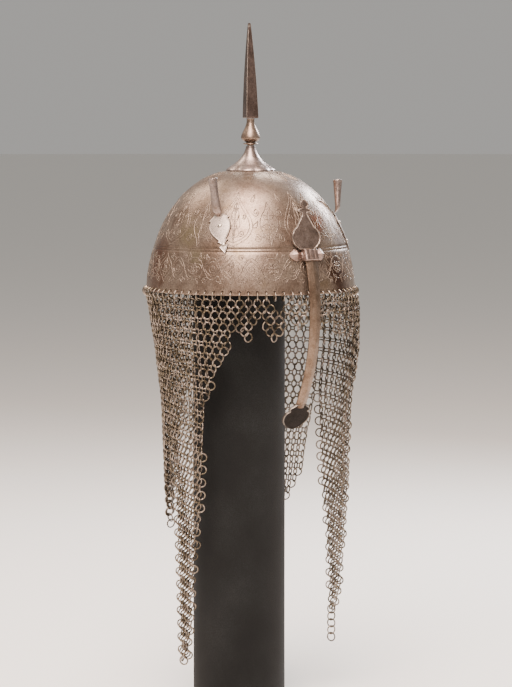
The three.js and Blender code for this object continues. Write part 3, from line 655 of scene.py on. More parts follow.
# %% Band, register and petals
BAND_MOTIF = [
    [(0, 39.5), (3.5, 34.5), (8.5, 30.5), (11, 25.5), (8.5, 20.5), (3.5, 16.5), (0, 11.5)],
    [(0, 34.5), (3, 30.5), (6.6, 27.5), (7.6, 25.5), (6.6, 23.5), (3, 20.5), (0, 16.5)],
    [(11, 25.5), (15, 32.5), (20, 36), (25.5, 32.5), (29.5, 25.5), (33, 18.5), (37, 15.5), (41, 15)],
    [(11, 25.5), (15, 18.5), (20, 15), (25.5, 18.5), (29.5, 25.5), (33, 32.5), (37, 35.5), (41, 36)],
    [(13, 25.5), (16.5, 30.8), (20, 33), (24, 30.2), (27.6, 25.5), (24, 20.8), (20, 18), (16.5, 20.2),
     (13, 25.5)],
    spiral(19.6, 25.5, 4.6, math.pi, 1.5, 1),
    spiral(37, 25.5, 5.4, math.pi, 1.6, -1),
    spiral(9.5, 36.6, 3.1, 0.4, 1.3, 1),
    spiral(9.5, 14.4, 3.1, -0.4, 1.3, -1),
    spiral(28.6, 36.4, 2.9, 3.4, 1.2, -1),
    spiral(28.6, 14.6, 2.9, 2.9, 1.2, 1),
    leaf(15, 32.5, 2.2, 7, 5, 0.3),
    leaf(15, 18.5, -2.2, 7, 5, -0.3),
    leaf(33, 32.5, 0.9, 7.5, 5, 0.8),
    leaf(33, 18.5, -0.9, 7.5, 5, -0.8),
    leaf(24, 34, 0.7, 6, 4, 0.6),
    leaf(24, 17, -0.7, 6, 4, -0.6),
    leaf(0.6, 20.5, 1.2, 6.5, 4, 0.5),
    leaf(0.6, 26.5, 1.3, 6, 3, 0.4),
    leaf(41, 20, 2.1, 6, 4, 0.4),
    leaf(41, 31, -2.1, 6, 4, -0.4),
]
REGISTER_MOTIF = [
    [(0, 99), (5, 91), (12, 84), (19, 75), (21.5, 66), (17, 57), (8, 51), (0, 47.5)],
    [(0, 94), (4.4, 87.6), (10.5, 81), (16, 73.5), (18, 66), (14.2, 58.6), (6.8, 53.6), (0, 51)],
    [(0, 51), (0.8, 60), (-0.6, 70), (0.6, 80), (0, 90)],
    leaf(0.5, 56, 0.9, 11, 7, 0.9),
    leaf(0.3, 64, 0.8, 12.5, 8, 0.9),
    leaf(0.2, 73, 0.95, 10.5, 7, 0.8),
    leaf(0.2, 81, 1.1, 7.5, 5, 0.6),
    spiral(8.6, 60, 3.2, 3.6, 1.4, 1),
    spiral(11, 76, 2.6, 3.6, 1.3, 1),
    [(41, 46.5), (38, 54), (33.5, 60), (30, 68), (32, 76), (37, 82), (41, 90)],
    [(41, 52), (39.6, 60), (41, 68), (39.8, 76), (41, 84)],
    leaf(40.4, 55, 2.5, 8, 5.5, 0.8),
    leaf(40.4, 64, 2.4, 8.5, 6, 0.8),
    leaf(40.4, 73, 2.2, 7, 5, 0.6),
    leaf(21.5, 66, 0.3, 8, 5, 0.7),
    spiral(27, 55, 4.2, 2.0, 1.5, -1),
    spiral(25.5, 80, 4.0, 3.6, 1.5, 1),
    leaf(19, 90, 0.5, 9, 5, 0.7),
]
PETAL_MOTIF = [
    [(0, 117.2), (10, 116.6), (14.5, 114.6), (17.5, 111.4), (20.5, 108.6)],
    [(0, 116.2), (7, 115.4), (11, 113.4), (13.5, 110.6)],
]

band_strokes = all_round(BAND_MOTIF, REPEATS)
register_strokes = all_round(REGISTER_MOTIF, REPEATS) + all_round(PETAL_MOTIF, 16)
for name, strokes in (("band", band_strokes), ("register", register_strokes)):
    draw_strokes(f"{name}_lips", strokes, LIP_RADIUS, LIP_LIFT, (0, 0), inlay_light)
    draw_strokes(f"{name}_furrows", strokes, FURROW_RADIUS, FURROW_LIFT, FURROW_SHADOW_SHIFT, inlay_dark_and_shadow)

# %% [markdown]
# ## The spike
# The spike is three forgings: a bright trumpet foot with a lobed edge that spreads over the
# crown, a pear-shaped knop on a thin disc, toned like the bowl, and a dull four-sided blade.
# They could be one mesh, but each has its own steel. The first two are lathe work, so a
# profile is spun. The lobes are pulled out of the foot's edge afterwards. The blade is the
# same spin in four steps, which leaves four flat sides, and its edges are then eased.

# %% Foot, knop and blade
FOOT_RADIUS = 24.2 * MM
FOOT_HEIGHT = 22.6 * MM
FOOT_LOBES = 8
KNOP_HEIGHT = 27 * MM
KNOP_RADIUS = 9.5 * MM
BLADE_LENGTH = 94.4 * MM
BLADE_LEAN = -0.8 * DEGREE
BLADE_CORNER = 12.4 * MM / math.sqrt(2)
BLADE_TURN = 30.5 * DEGREE
BLADE_EASING = 0.35 * MM
BLADE_WEAR = 0.6
ROW_STEPS = 5
LOBE_PULL = 0.045
LOBES_FROM = 0.45
CROWN_Z = RIM_Z + BOWL_HEIGHT + SEAT_GAP
KNOP_Z = CROWN_Z + FOOT_HEIGHT + SEAT_GAP
BLADE_Z = KNOP_Z + KNOP_HEIGHT + SEAT_GAP

FOOT_ROWS = [(-0.052, 1), (0.01, 0.95), (0.075, 0.87), (0.14, 0.78), (0.21, 0.68), (0.41, 0.465),
             (0.58, 0.34), (0.73, 0.265), (0.88, 0.21), (0.975, 0.19, CORNER), (1, 0.18)]
KNOP_ROWS = [(0, 0.36), (0.045, 0.36, CORNER), (0.05, 0.74, CORNER), (0.072, 0.78),
             (0.095, 0.74, CORNER), (0.1, 0.48, CORNER), (0.135, 0.48, CORNER), (0.16, 0.7),
             (0.21, 0.89), (0.28, 1), (0.35, 0.99), (0.44, 0.91), (0.55, 0.76), (0.68, 0.58),
             (0.82, 0.45), (0.93, 0.41), (1, 0.43)]
BLADE_ROWS = [(0, 0.88), (0.004, 0.97), (0.014, 1.01), (0.08, 0.98), (0.2, 0.92), (0.4, 0.8),
              (0.6, 0.63), (0.81, 0.42), (0.9, 0.31), (0.955, 0.24), (0.985, 0.19), (0.998, 0.13),
              (1, 0.08)]


def profile_of(rows, radius, foot_z, height):
    """Rows of (height, radius) shares turned into metres and closed at the top"""
    return [(radius * share, foot_z + height * up) for up, share in rows] + [(0, foot_z + height)]


def make_foot():
    underside = []
    for share in (0, 0.35, 0.6, 0.8, 0.92, 1):
        dip = BOWL_HEIGHT - bowl_height(FOOT_RADIUS * share)
        underside.append((FOOT_RADIUS * share, CROWN_Z - dip))
    edge_z = underside[-1][1]
    upper = profile_of(smooth_rows(FOOT_ROWS, ROW_STEPS), FOOT_RADIUS, CROWN_Z, FOOT_HEIGHT)
    profile = underside + [(FOOT_RADIUS, edge_z + 0.5 * MM)] + upper
    mesh = turned(profile, 96, "spike_foot_form")
    for vert in mesh.vertices:
        reach = max(off_axis(vert.co) / FOOT_RADIUS - LOBES_FROM, 0) / (1 - LOBES_FROM)
        lobe = math.cos(FOOT_LOBES * math.atan2(vert.co.y, vert.co.x))
        pull = 1 + LOBE_PULL * (1.4 * abs(math.cos(math.acos(lobe) / 2)) - 0.9) * reach
        vert.co.x *= pull
        vert.co.y *= pull
    return mesh


def make_knop():
    profile = profile_of(smooth_rows(KNOP_ROWS, ROW_STEPS), KNOP_RADIUS, KNOP_Z, KNOP_HEIGHT)
    return turned([(0, KNOP_Z)] + profile, 64, "spike_knop_form")


def make_blade():
    bm = spun([(0, BLADE_Z)] + profile_of(BLADE_ROWS, BLADE_CORNER, BLADE_Z, BLADE_LENGTH), 4)
    bmesh.ops.remove_doubles(bm, verts=bm.verts, dist=SAME_POINT)
    arrises = [edge for edge in bm.edges
               if all(off_axis(vert.co) > 2 * MM for vert in edge.verts)
               and abs(edge.verts[0].co.z - edge.verts[1].co.z) > 2 * MM]
    bmesh.ops.bevel(bm, geom=arrises, offset=BLADE_EASING, offset_type="OFFSET", segments=2,
                    profile=0.5, affect="EDGES", material=-1)
    wear_and_highlight = bm.verts.layers.float.new("wear_and_highlight")
    for vert in bm.verts:
        aside = min(abs(vert.co.x), abs(vert.co.y))
        on_arris = aside < 0.01 * MM and off_axis(vert.co) > 2 * MM
        vert[wear_and_highlight] = BLADE_WEAR if on_arris and vert.co.z > BLADE_Z + 1 * MM else 0.0
    bmesh.ops.rotate(bm, verts=bm.verts, cent=(0, 0, 0), matrix=Matrix.Rotation(BLADE_TURN, 3, "Z"))
    for vert in bm.verts:
        vert.co += CAMERA_RIGHT * math.tan(BLADE_LEAN) * (vert.co.z - BLADE_Z)
    return mesh_of(bm, "spike_blade_form", 12)


add_piece("spike_foot_form", make_foot(), fitting_steel, "helmet", ["spike_foot"])
add_piece("spike_knop_form", make_knop(), bowl_steel, "helmet", ["spike_knop"])
add_piece("spike_blade_form", make_blade(), blade_steel, "helmet", ["spike_blade"])

# %% [markdown]
# ## Plates cut to an outline
# The nasal's two plates and the sockets' plates were cut from sheet and filed to cusped
# outlines with a raised rim. A plate is made here as a slab cut from a flat grid: each row of
# the grid is as wide as the outline there, and each point's thickness depends on how far it
# lies from the edge. A place function then lays the slab flat or wraps it on the bowl.

# %% Helpers for plates
RIM_LIP = 0.35 * MM
# How far a plate's painted edge shadow reaches in, and how its painted rim highlight runs across the border
# and fades at the tip
EDGE_SHADOW_REACH = 0.8 * MM
BORDER_STEPS = np.array([0, 0.35, 0.75, 1.25, 1.8])
BORDER_HIGHLIGHT = [0.3, 1.0, 1.0, 0.25, 0.0]
TIP_FROM = [0.79, 0.84]
HIGHLIGHT_AT_TIP = 0.3


def edge_distance(points, outline):
    """How far each flat point lies from the nearest edge of a closed outline"""
    ends = np.roll(outline, -1, axis=0)
    spans = ends - outline
    lengths = np.maximum((spans ** 2).sum(1), 1e-18)
    away = points[:, None, :] - outline[None]
    share = np.clip((away * spans[None]).sum(2) / lengths, 0, 1)
    return np.sqrt(((away - share[..., None] * spans[None]) ** 2).sum(2)).min(1)


def make_plate(name, rows, length, half_width, thickness, rim, place, dish=0.0, columns=22, steps=5,
               sunk=0.66, wear_and_highlight=0.0, soot_and_shade=0.0, polish=0.0):
    """A plate from rows of (along, half); rim is the width of its raised border"""
    filled = [(along * length, max(half, 0.01) * half_width) for along, half in smooth_rows(rows, steps)]
    sides = [(half, along) for along, half in filled] + [(-half, along) for along, half in filled[::-1]]
    outline = np.array(sides)
    shares = np.sin(np.linspace(-1, 1, columns + 1) * math.pi / 2)
    flat = np.array([[(half * share, along) for share in shares] for along, half in filled])
    inset = edge_distance(flat.reshape(-1, 2), outline).reshape(len(filled), columns + 1)
    border = BORDER_STEPS * rim
    lift = np.interp(inset, border, [0.55, 0.95, 1.0, 0.26 + 0.74 * (sunk + 0.08), sunk]) * thickness
    widest = max(half for _, half in filled)
    lift += dish * (1 - (flat[..., 0] / widest) ** 2) * np.clip(inset / (4 * rim), 0, 1)

    def point(i, j, top):
        across, along = flat[j][i]
        return place(across, along, lift[j][i] if top else 0.0)

    # A painted highlight on the rim, fading towards the tip, and a painted shadow along the outer edge
    rim_highlight = wear_and_highlight * np.interp(flat[..., 1] / length, TIP_FROM, [1.0, HIGHLIGHT_AT_TIP])
    marks = {"wear_and_highlight": rim_highlight * np.interp(inset, border, BORDER_HIGHLIGHT) + polish,
             "soot_and_shade": soot_and_shade * np.interp(inset, [0, RIM_LIP, EDGE_SHADOW_REACH], [1.0, 0.9, 0.0])}
    return shaped_grid(columns, len(filled) - 1, point, name, 40, marks)


print("a plate's border has a lip of", round(RIM_LIP / MM, 2), "mm")

# %% [markdown]
# ## Plume sockets
# Each socket is one piece of sheet: a cusped plate riveted to the bowl, whose neck bends out
# and is rolled into a slightly flaring tube for a feather. The tube is spun from a profile
# that runs up the outside, over the lip and down the bore, then its foot is bent inwards.

# %% Sockets
SOCKET_ANGLE = 57 * DEGREE
SOCKET_TUBE_ANGLE = 56.1 * DEGREE
SOCKET_LEAN = 8 * DEGREE
SOCKET_TILT = 19 * DEGREE
SOCKET_TUBE_BASE = 76 * MM
SOCKET_STANDOFF = 5 * MM
TUBE_SHARES = {1: 0.9, -1: 1.0}
SOCKET_PLATE_TOP = 77 * MM
SOCKET_PLATE_LENGTH = 43 * MM
SOCKET_PLATE_HALF = 10.9 * MM
SOCKET_PLATE_THICK = 1.3 * MM
SOCKET_ROWS = [(0, 0.03), (0.1, 0.24), (0.19, 0.44, CORNER), (0.22, 0.22, CORNER), (0.27, 0.27),
               (0.31, 0.52, CORNER), (0.34, 0.34, CORNER), (0.42, 0.57), (0.52, 0.82), (0.62, 0.96),
               (0.72, 1), (0.8, 0.93), (0.84, 0.8, CORNER), (0.87, 0.97, CORNER), (0.92, 0.78),
               (0.97, 0.5), (1, 0.37)]
TUBE_ROWS = [(0, 0), (0.9, 0.3), (1.8, 1.2), (2.6, 2.7), (3.2, 4.6), (3.65, 8), (3.85, 13),
             (4, 18), (4.2, 24), (4.35, 29), (4.5, 33.5), (4.65, 35.2), (4.78, 36.2), (4.7, 36.8),
             (4.4, 37), (3.9, 36.9), (3.6, 36.5), (3.4, 35), (2.9, 28), (2.2, 12), (2, 4),
             (1.4, 3.2), (0, 3)]
TUBE_TOP = 37 * MM
TUBE_WIDTHS = (1.42, 0.94)
TUBE_DEPTHS = (0.64, 1.0)
TUBE_BEND = 8 * MM
TUBE_BEND_IN = 3.3 * MM
TORN_LIP = 0.3 * MM
TORN_FROM = 0.95


def socket_place(side):
    def place(across, along, lift):
        down = SOCKET_PLATE_LENGTH - along
        tilt = SOCKET_TILT * side
        sideways = across * math.cos(tilt) - down * math.sin(tilt)
        fall = down * math.cos(tilt) + across * math.sin(tilt)
        height = climb(SOCKET_PLATE_TOP, -fall)
        return on_bowl(SOCKET_ANGLE * side + sideways / bowl_radius(height), height, SEAT_GAP + lift)
    return place


def blend(pair, share):
    return pair[0] + (pair[1] - pair[0]) * share


def make_tube(side):
    mesh = turned([(radius * MM, z * MM) for radius, z in TUBE_ROWS], 40, "socket_tube", 50)
    alpha = SOCKET_TUBE_ANGLE * side
    foot = at(bowl_radius(SOCKET_TUBE_BASE) + SOCKET_STANDOFF, alpha, RIM_Z + SOCKET_TUBE_BASE)
    for vert in mesh.vertices:
        share = vert.co.z / TUBE_TOP
        around = math.atan2(vert.co.y, vert.co.x)
        bend = max(TUBE_BEND - vert.co.z, 0) / TUBE_BEND
        torn = max(share - TORN_FROM, 0) / (1 - TORN_FROM)
        vert.co.x *= blend(TUBE_WIDTHS, min(share * 1.6, 1))
        vert.co.y *= blend(TUBE_DEPTHS, share) * (1 - 0.35 * bend ** 3)
        vert.co.y += TUBE_BEND_IN * bend ** 2
        vert.co.z -= TORN_LIP * torn * (math.sin(3 * around + side) + math.sin(7 * around))
        vert.co.z *= TUBE_SHARES[side]
    mesh.transform(Matrix.Translation(foot) @ Matrix.Rotation(alpha, 4, "Z")
                   @ Matrix.Rotation(SOCKET_LEAN * side, 4, "Y"))
    return mesh


def join_meshes(name, meshes):
    bm = bmesh.new()
    for mesh in meshes:
        bm.from_mesh(mesh)
    return mesh_from(bm, name)


RIVET_SHARES = (0.22, 0.7)
RIVET_RADIUS = 2.3 * MM
RIVET_HEIGHT = 1.5 * MM


def make_rivets(side):
    place = socket_place(side)
    heads = []
    dome = [(RIVET_RADIUS * math.cos(turn), RIVET_HEIGHT * (0.15 + 0.85 * math.sin(turn)))
            for turn in np.linspace(0.1, math.pi / 2, 7)]
    dome = [(0, 0), (RIVET_RADIUS, 0)] + dome
    for share in RIVET_SHARES:
        head = turned(dome, 24, "rivet_head", 50)
        low = Vector(place(0, SOCKET_PLATE_LENGTH * share, SOCKET_PLATE_THICK * 0.66))
        high = Vector(place(0, SOCKET_PLATE_LENGTH * share, SOCKET_PLATE_THICK * 2))
        head.transform(stood(low, high - low))
        heads.append(head)
    return join_meshes("socket_rivets", heads)


for label, side in (("left", 1), ("right", -1)):
    # The dark line round each plate's edge is painted shadow where the plate meets the bowl
    flange = make_plate("socket_plate", SOCKET_ROWS, SOCKET_PLATE_LENGTH, SOCKET_PLATE_HALF,
                        SOCKET_PLATE_THICK, 0.6 * MM, socket_place(side), sunk=0.9, soot_and_shade=0.85, polish=0.4)
    socket = join_meshes("plume_socket", [flange, make_tube(side)])
    add_piece(f"socket_form_{label}", socket, fitting_steel, "helmet",
              [f"plume_socket_{label}"])
    add_piece(f"socket_rivets_{label}", make_rivets(side), rivet_steel, "helmet",
              [f"socket_rivet_{label}_1", f"socket_rivet_{label}_2"])

# %% [markdown]
# ## The nasal
# The nose guard is a long bar bent to an arc, with a ridge down its front. It ends below in a
# rounded plate and above in a pear-shaped plate with a leaf, and it slides through a bracket.
# The bar is a strip of the same flat grid, laid along the arc that it slides on.

# %% Nasal
ARC_RADIUS = 185 * MM
ARC_CENTRE_Y = 73 * MM
ARC_CENTRE_Z = RIM_Z - 17.5 * MM
BRACKET_MIDDLE = 38.3 * MM
BRACKET_HEIGHT = 10.6 * MM
BAR_THICK = 3.2 * MM
BAR_WIDTHS = (11.6 * MM, 13.0 * MM)
BAR_BELOW = 1.2 * DEGREE
BAR_ABOVE = 0.2 * DEGREE
PLATE_THICK = 2.4 * MM
NASAL_FOOT = -29.4 * DEGREE
PLATE_TILT = 7.2 * DEGREE
PLATE_BACKSET = 3.4 * MM
PLATE_ASIDE = -1.6 * MM
PLATE_LENGTH = 49.2 * MM
PLATE_HALF = 16.7 * MM
TERMINAL_LENGTH = 31 * MM
TERMINAL_HALF = 15.4 * MM
PLATE_ROWS = [(0, 0.5), (0.05, 0.7), (0.12, 0.9), (0.24, 1), (0.36, 0.89), (0.43, 0.71, CORNER),
              (0.45, 0.61, CORNER), (0.54, 0.45), (0.61, 0.32), (0.69, 0.2), (0.725, 0.18, CORNER),
              (0.74, 0.4, CORNER), (0.77, 0.48), (0.805, 0.38, CORNER), (0.83, 0.17, CORNER),
              (0.85, 0.27), (0.895, 0.3), (0.95, 0.23), (0.985, 0.11), (1, 0.03)]
TERMINAL_ROWS = [(0, 0.36), (0.07, 0.52), (0.13, 0.72), (0.22, 0.82), (0.27, 0.7, CORNER), (0.33, 0.89),
                 (0.44, 0.99), (0.56, 1), (0.69, 0.92), (0.81, 0.74), (0.91, 0.48), (0.97, 0.24),
                 (1, 0.03)]


def on_arc(angle, across, lift):
    radius = ARC_RADIUS + lift
    return (across, ARC_CENTRE_Y - radius * math.cos(angle), ARC_CENTRE_Z + radius * math.sin(angle))


def arc_angle(height):
    return math.asin((height + RIM_Z - ARC_CENTRE_Z) / ARC_RADIUS)


PLATE_FOOT = arc_angle(BRACKET_MIDDLE + BRACKET_HEIGHT / 2 + 0.5 * MM)
BAR_SECTION = [(-1, 0.28), (-0.94, 0.42), (-0.86, 0.5), (-0.1, 0.97), (0, 1), (0.1, 0.97),
               (0.86, 0.5), (0.94, 0.42), (1, 0.28)]
BAR_STEPS = 90


def make_bar():
    ends = (NASAL_FOOT - BAR_BELOW, PLATE_FOOT + BAR_ABOVE)

    def point(i, j, up):
        share = j / BAR_STEPS
        across, lift = BAR_SECTION[i]
        height = -BAR_THICK / 2 + (BAR_THICK * lift if up else 0)
        return on_arc(blend(ends, share), blend(BAR_WIDTHS, share) / 2 * across, height)

    return shaped_grid(len(BAR_SECTION) - 1, BAR_STEPS, point, "nasal_bar", 22)


def straight_place(angle, tilt, hand, backset, aside=0.0):
    """Lay a plate flat from a point of the arc, tilted back, running up for hand 1 or down for -1"""
    start = np.array(on_arc(angle, aside, 0))
    upward = np.array([0, math.sin(tilt), math.cos(tilt)])
    facing = np.array([0, -math.cos(tilt), math.sin(tilt)])

    def place(across, along, lift):
        return start + np.array([across, 0, 0]) + upward * hand * along + facing * (lift - backset)
    return place


def make_upper_plate():
    place = straight_place(PLATE_FOOT, PLATE_TILT, 1, PLATE_BACKSET, PLATE_ASIDE)
    # Its rims carry a painted highlight, fainter towards the tip
    return make_plate("nasal_plate", PLATE_ROWS, PLATE_LENGTH, PLATE_HALF, PLATE_THICK, 0.75 * MM, place,
                      dish=0.5 * MM, columns=34, steps=6, wear_and_highlight=0.26)


def make_terminal():
    lean = NASAL_FOOT - TERMINAL_LENGTH / 2 / ARC_RADIUS
    place = straight_place(NASAL_FOOT, lean, -1, PLATE_THICK / 2)
    # Its raised rim carries a painted highlight
    return make_plate("nasal_terminal", TERMINAL_ROWS, TERMINAL_LENGTH, TERMINAL_HALF, PLATE_THICK,
                      0.8 * MM, place, dish=0.3 * MM, columns=26, steps=6, wear_and_highlight=0.4)


add_piece("nasal_bar", make_bar(), bar_steel, "nasal", ["nasal"])
add_piece("nasal_plate", make_upper_plate(), dark_steel, "nasal", ["nasal"])
add_piece("nasal_terminal", make_terminal(), terminal_steel, "nasal", ["nasal"])

# %% [markdown]
# ## The bracket
# A strap on the bowl holds the bar: a ribbed bridge over it, and on each side a wing filed to
# a four-sided pyramid. Bridge and wings are slabs from a grid whose backs follow the bowl.
# They are united and the slot for the bar is cut through with booleans.

# %% Bracket
BRACKET_HALF = 22 * MM
SLOT_HALF_WIDTH = 6.85 * MM
SLOT_HALF_DEPTH = 1.95 * MM
BRIDGE_HALF = 8.0 * MM
BRIDGE_FRONT = SLOT_HALF_DEPTH + 1.2 * MM
BRIDGE_SECTION = [(-1, -1.9), (-0.95, -0.9), (-0.82, -0.1), (-0.64, 0.15), (-0.46, -0.05),
                  (-0.36, -0.4), (-0.26, -0.05), (0, 0.3), (0.26, -0.05), (0.36, -0.4), (0.46, -0.05),
                  (0.64, 0.15), (0.82, -0.1), (0.95, -0.9), (1, -1.9)]
WING_ROWS = [(0.3, 0.55, 0.2), (0.4, 0.6, 0.4), (0.46, 0.75, 0.45), (0.54, 0.95, 0.7), (0.66, 1.15, 1),
             (0.78, 0.95, 0.75), (0.88, 0.66, 0.48), (0.97, 0.3, 0.24), (1, 0.1, 0.14)]
WING_LIFT = 5.2 * MM


def behind(across, height, lift):
    """A point on the bowl straight behind the bar at a distance across and a height"""
    radius = bowl_radius(height) + lift
    return (across, -math.sqrt(radius ** 2 - across ** 2), RIM_Z + height)


def make_bridge():
    rows = [-1.0, -0.86, -0.7, -0.25, 0.25, 0.7, 0.86, 1.0]
    crown = [-0.5, 0.1, 0.15, 0, 0, 0.15, 0.1, -0.5]

    def point(i, j, up):
        across, drop = BRIDGE_SECTION[i]
        height = BRACKET_MIDDLE + BRACKET_HEIGHT / 2 * rows[j]
        if not up:
            return behind(BRIDGE_HALF * across, height, SEAT_GAP)
        lift = BRIDGE_FRONT + (drop + crown[j]) * MM
        return on_arc(arc_angle(height), BRIDGE_HALF * across, lift)

    return shaped_grid(len(BRIDGE_SECTION) - 1, len(rows) - 1, point, "bridge", 25)


def make_wing(side):
    spans = [-1, -0.9, 0, 0.9, 1]
    crests = [0.22, 0.34, 1.0, 0.34, 0.22]

    def point(i, j, up):
        along, half, lift = WING_ROWS[i]
        across = BRACKET_HALF * along * side
        height = BRACKET_MIDDLE + BRACKET_HEIGHT / 2 * half * spans[j]
        rise = WING_LIFT * lift * crests[j] + 0.5 * MM if up else 0.0
        return on_bowl(across / BOWL_RADIUS, height, SEAT_GAP + rise)

    return shaped_grid(len(WING_ROWS) - 1, len(spans) - 1, point, "wing", 15)


def make_slot():
    def point(i, j, up):
        height = BRACKET_MIDDLE + BRACKET_HEIGHT * (j - 2) / 2
        across = SLOT_HALF_WIDTH * (2 * i - 1)
        return on_arc(arc_angle(height), across, SLOT_HALF_DEPTH * (1 if up else -1))
    return shaped_grid(1, 4, point, "slot")


bracket = add_piece("bracket_form", make_bridge(), bracket_steel, "helmet",
                    ["nasal_bracket"])
for side in (-1, 1):
    combine(bracket, make_wing(side), "UNION")
combine(bracket, make_slot(), "DIFFERENCE")
bracket.data.shade_smooth()
print("bracket:", len(bracket.data.polygons), "faces")

# %% [markdown]
# ## The display post
# The helmet rests on a round wooden post that is covered in black felt. It stands a little
# off the helmet's axis, towards the wearer's right. It could be one cylinder, but the top is
# carved to the bowl's hollow, so the cover is spun flat and its top points are then raised
# until they touch the inside of the bowl. Felt is all nap: it has no shine, and only its edge
# gathers a faint light, which the sheen gives.

# %% Post cover
POST_X = -10 * MM
POST_Y = 6 * MM
POST_RADIUS = 46 * MM
POST_FOOT_EDGE = 1.5 * MM
POST_TOP_EDGE = 1.2 * MM
POST_ROUND_FROM = 0.985
POST_TOP = RIM_Z + 1 * MM
BOWL_INSIDE = -(BOWL_WALL + SEAT_GAP)


def make_post():
    wall = [(POST_RADIUS, RIM_Z * share) for share in np.linspace(0, 1, 24)][1:]
    profile = [(0, 0), (POST_RADIUS - POST_FOOT_EDGE, 0), (POST_RADIUS - 0.4 * POST_FOOT_EDGE, 0.4 * MM),
               (POST_RADIUS, POST_FOOT_EDGE)] + wall
    for share in (0.999, POST_ROUND_FROM, 0.95, 0.85, 0.7, 0.5, 0.25, 0):
        profile.append((POST_RADIUS * share, POST_TOP))
    mesh = turned(profile, 96, "post_cover", 45)
    for vert in mesh.vertices:
        outer = max(off_axis(vert.co) / POST_RADIUS - POST_ROUND_FROM, 0) / (1 - POST_ROUND_FROM)
        vert.co.x += POST_X
        vert.co.y += POST_Y
        if vert.co.z > (RIM_Z + POST_TOP) / 2:
            vert.co.z = RIM_Z + bowl_height(off_axis(vert.co), BOWL_INSIDE) - POST_TOP_EDGE * outer
    return mesh


def felt_material():
    # Black wool felt: it swallows the light, and only a worn spot or the nap's edge turns grey
    material, tree = new_material("black_wool_felt")
    place = add_node(tree, "TexCoord").outputs["Object"]
    nap = add_node(tree, "TexNoise",
                   {"Vector": place, "Scale": 1 / (1.1 * MM), "Detail": 4.0, "Roughness": 0.75})
    wear_and_highlight = add_node(tree, "TexNoise", {"Vector": place, "Scale": 1 / (60 * MM), "Detail": 3.0})
    depth = add_node(tree, "Math", {0: nap.outputs["Fac"], 1: wear_and_highlight.outputs["Fac"]},
                     operation="MULTIPLY")
    colour = add_node(tree, "ValToRGB", {"Fac": depth.outputs[0]},
                      stops=[(0.12, "#0a0b0b"), (0.26, "#131414"), (0.42, "#1f2121")])
    pile = add_node(tree, "Bump", {
        "Height": nap.outputs["Fac"], "Strength": 0.5, "Distance": 0.3 * MM})
    shader = add_node(tree, "BsdfPrincipled", {
        "Base Color": colour.outputs["Color"], "Roughness": 0.95, "Specular IOR Level": 0.2,
        "Sheen Weight": 0.05, "Sheen Roughness": 0.6, "Normal": pile.outputs["Normal"]})
    finish_material(tree, shader)
    return material


add_piece("post_cover", make_post(), felt_material(), "helmet", ["display_post"])

# %% [markdown]
# ## The mail
# The skirt is woven from round iron rings, each linked with two rings above and two below.
# Seventy-six rings hang in the holes of the rim and carry everything else. It could be faked
# with a pattern, but its holes and its ragged edge need real rings. One ring is spun from a
# small circle, and every other ring is a copy of its points, written into one mesh at once.

# %% One ring
RING_RADIUS = 4.3 * MM
WIRE = 1.45 * MM
RING_STEPS = 14
WIRE_SIDES = 5


def make_ring():
    bm = bmesh.new()
    section = Matrix.Translation((RING_RADIUS, 0, 0)) @ Matrix.Rotation(math.pi / 2, 4, "X")
    bmesh.ops.create_circle(bm, cap_ends=False, segments=WIRE_SIDES, radius=WIRE / 2, matrix=section)
    spin(bm, bm.verts[:] + bm.edges[:], RING_STEPS)
    return mesh_of(bm, "one_ring")


one_ring = make_ring()
print("a ring has", len(one_ring.polygons), "faces")

# %% [markdown]
# The edge of the skirt is read from angles and drops: zigzag points over the brow, a long
# pointed tail before each shoulder and a shorter one behind it. The skirt narrows and swings
# a little towards the wearer's left as it falls, as it does on the post.

# %% The skirt's edge and drape
SIDE_DROP = 367
FRONT_EDGE = [(0, 20), (4.7, 36), (7.1, 47), (9.5, 36), (14.2, 21), (16.4, 34), (18.8, 47), (23.8, 47),
              (26.2, 34), (28.4, 20), (31, 24), (33.2, 33), (35.5, 46), (39, 38)]
LEFT_EDGE = [(43, 34), (47, 60), (55, 84), (60, 106), (62.5, 191), (69, 236), (75, 279), (79, 323),
             (82.5, 331), (87, 331), (88.5, 294), (91.5, 242), (96.5, 191), (99, 144), (106.5, 166),
             (114, 198), (120.5, 220), (134.5, 244)]
RIGHT_EDGE = [(43, 34), (48, 60), (56, 80), (60, 100), (65.5, 112), (68, 206), (71.5, 228), (77, 278),
              (80.5, 330), (85, 365), (95, 367), (100, 354), (101.5, 246), (102.5, 143), (106, 190),
              (124.5, 195), (131, 232), (136, 242)]
BACK_EDGE = [(148, 181), (166, 112), (180, 95)]
LEFT_HALF = FRONT_EDGE + LEFT_EDGE + BACK_EDGE
RIGHT_HALF = [(-angle, drop) for angle, drop in (FRONT_EDGE + RIGHT_EDGE + BACK_EDGE)[1:]]
EDGE = sorted(LEFT_HALF + RIGHT_HALF)
EDGE_ANGLES = np.radians([angle for angle, _ in EDGE])
EDGE_DROPS = np.array([drop for _, drop in EDGE]) * MM
DRAPE_DROPS = np.array([0, 0.065, 0.163, 0.3, 0.463, 0.654, 0.817, 1]) * SIDE_DROP * MM
DRAPE_RADII = [1, 0.99, 0.96, 0.902, 0.876, 0.864, 0.857, 0.849]
DRAPE_SWINGS = [0.01, 0.039, 0.063, 0.063, 0.063, 0.072, 0.082, 0.087]
MAIL_TOP_RADIUS = BOWL_RADIUS - 0.7 * MM
SWING_ANGLE = 60 * DEGREE


def mail_radius(alpha, drop):
    share = np.interp(drop, DRAPE_DROPS, DRAPE_RADII)
    swing = np.interp(drop, DRAPE_DROPS, DRAPE_SWINGS)
    return MAIL_TOP_RADIUS * (share + swing * np.cos(alpha - SWING_ANGLE))


print("the edge has", len(EDGE), "corners, the longest tail falls", SIDE_DROP, "mm")

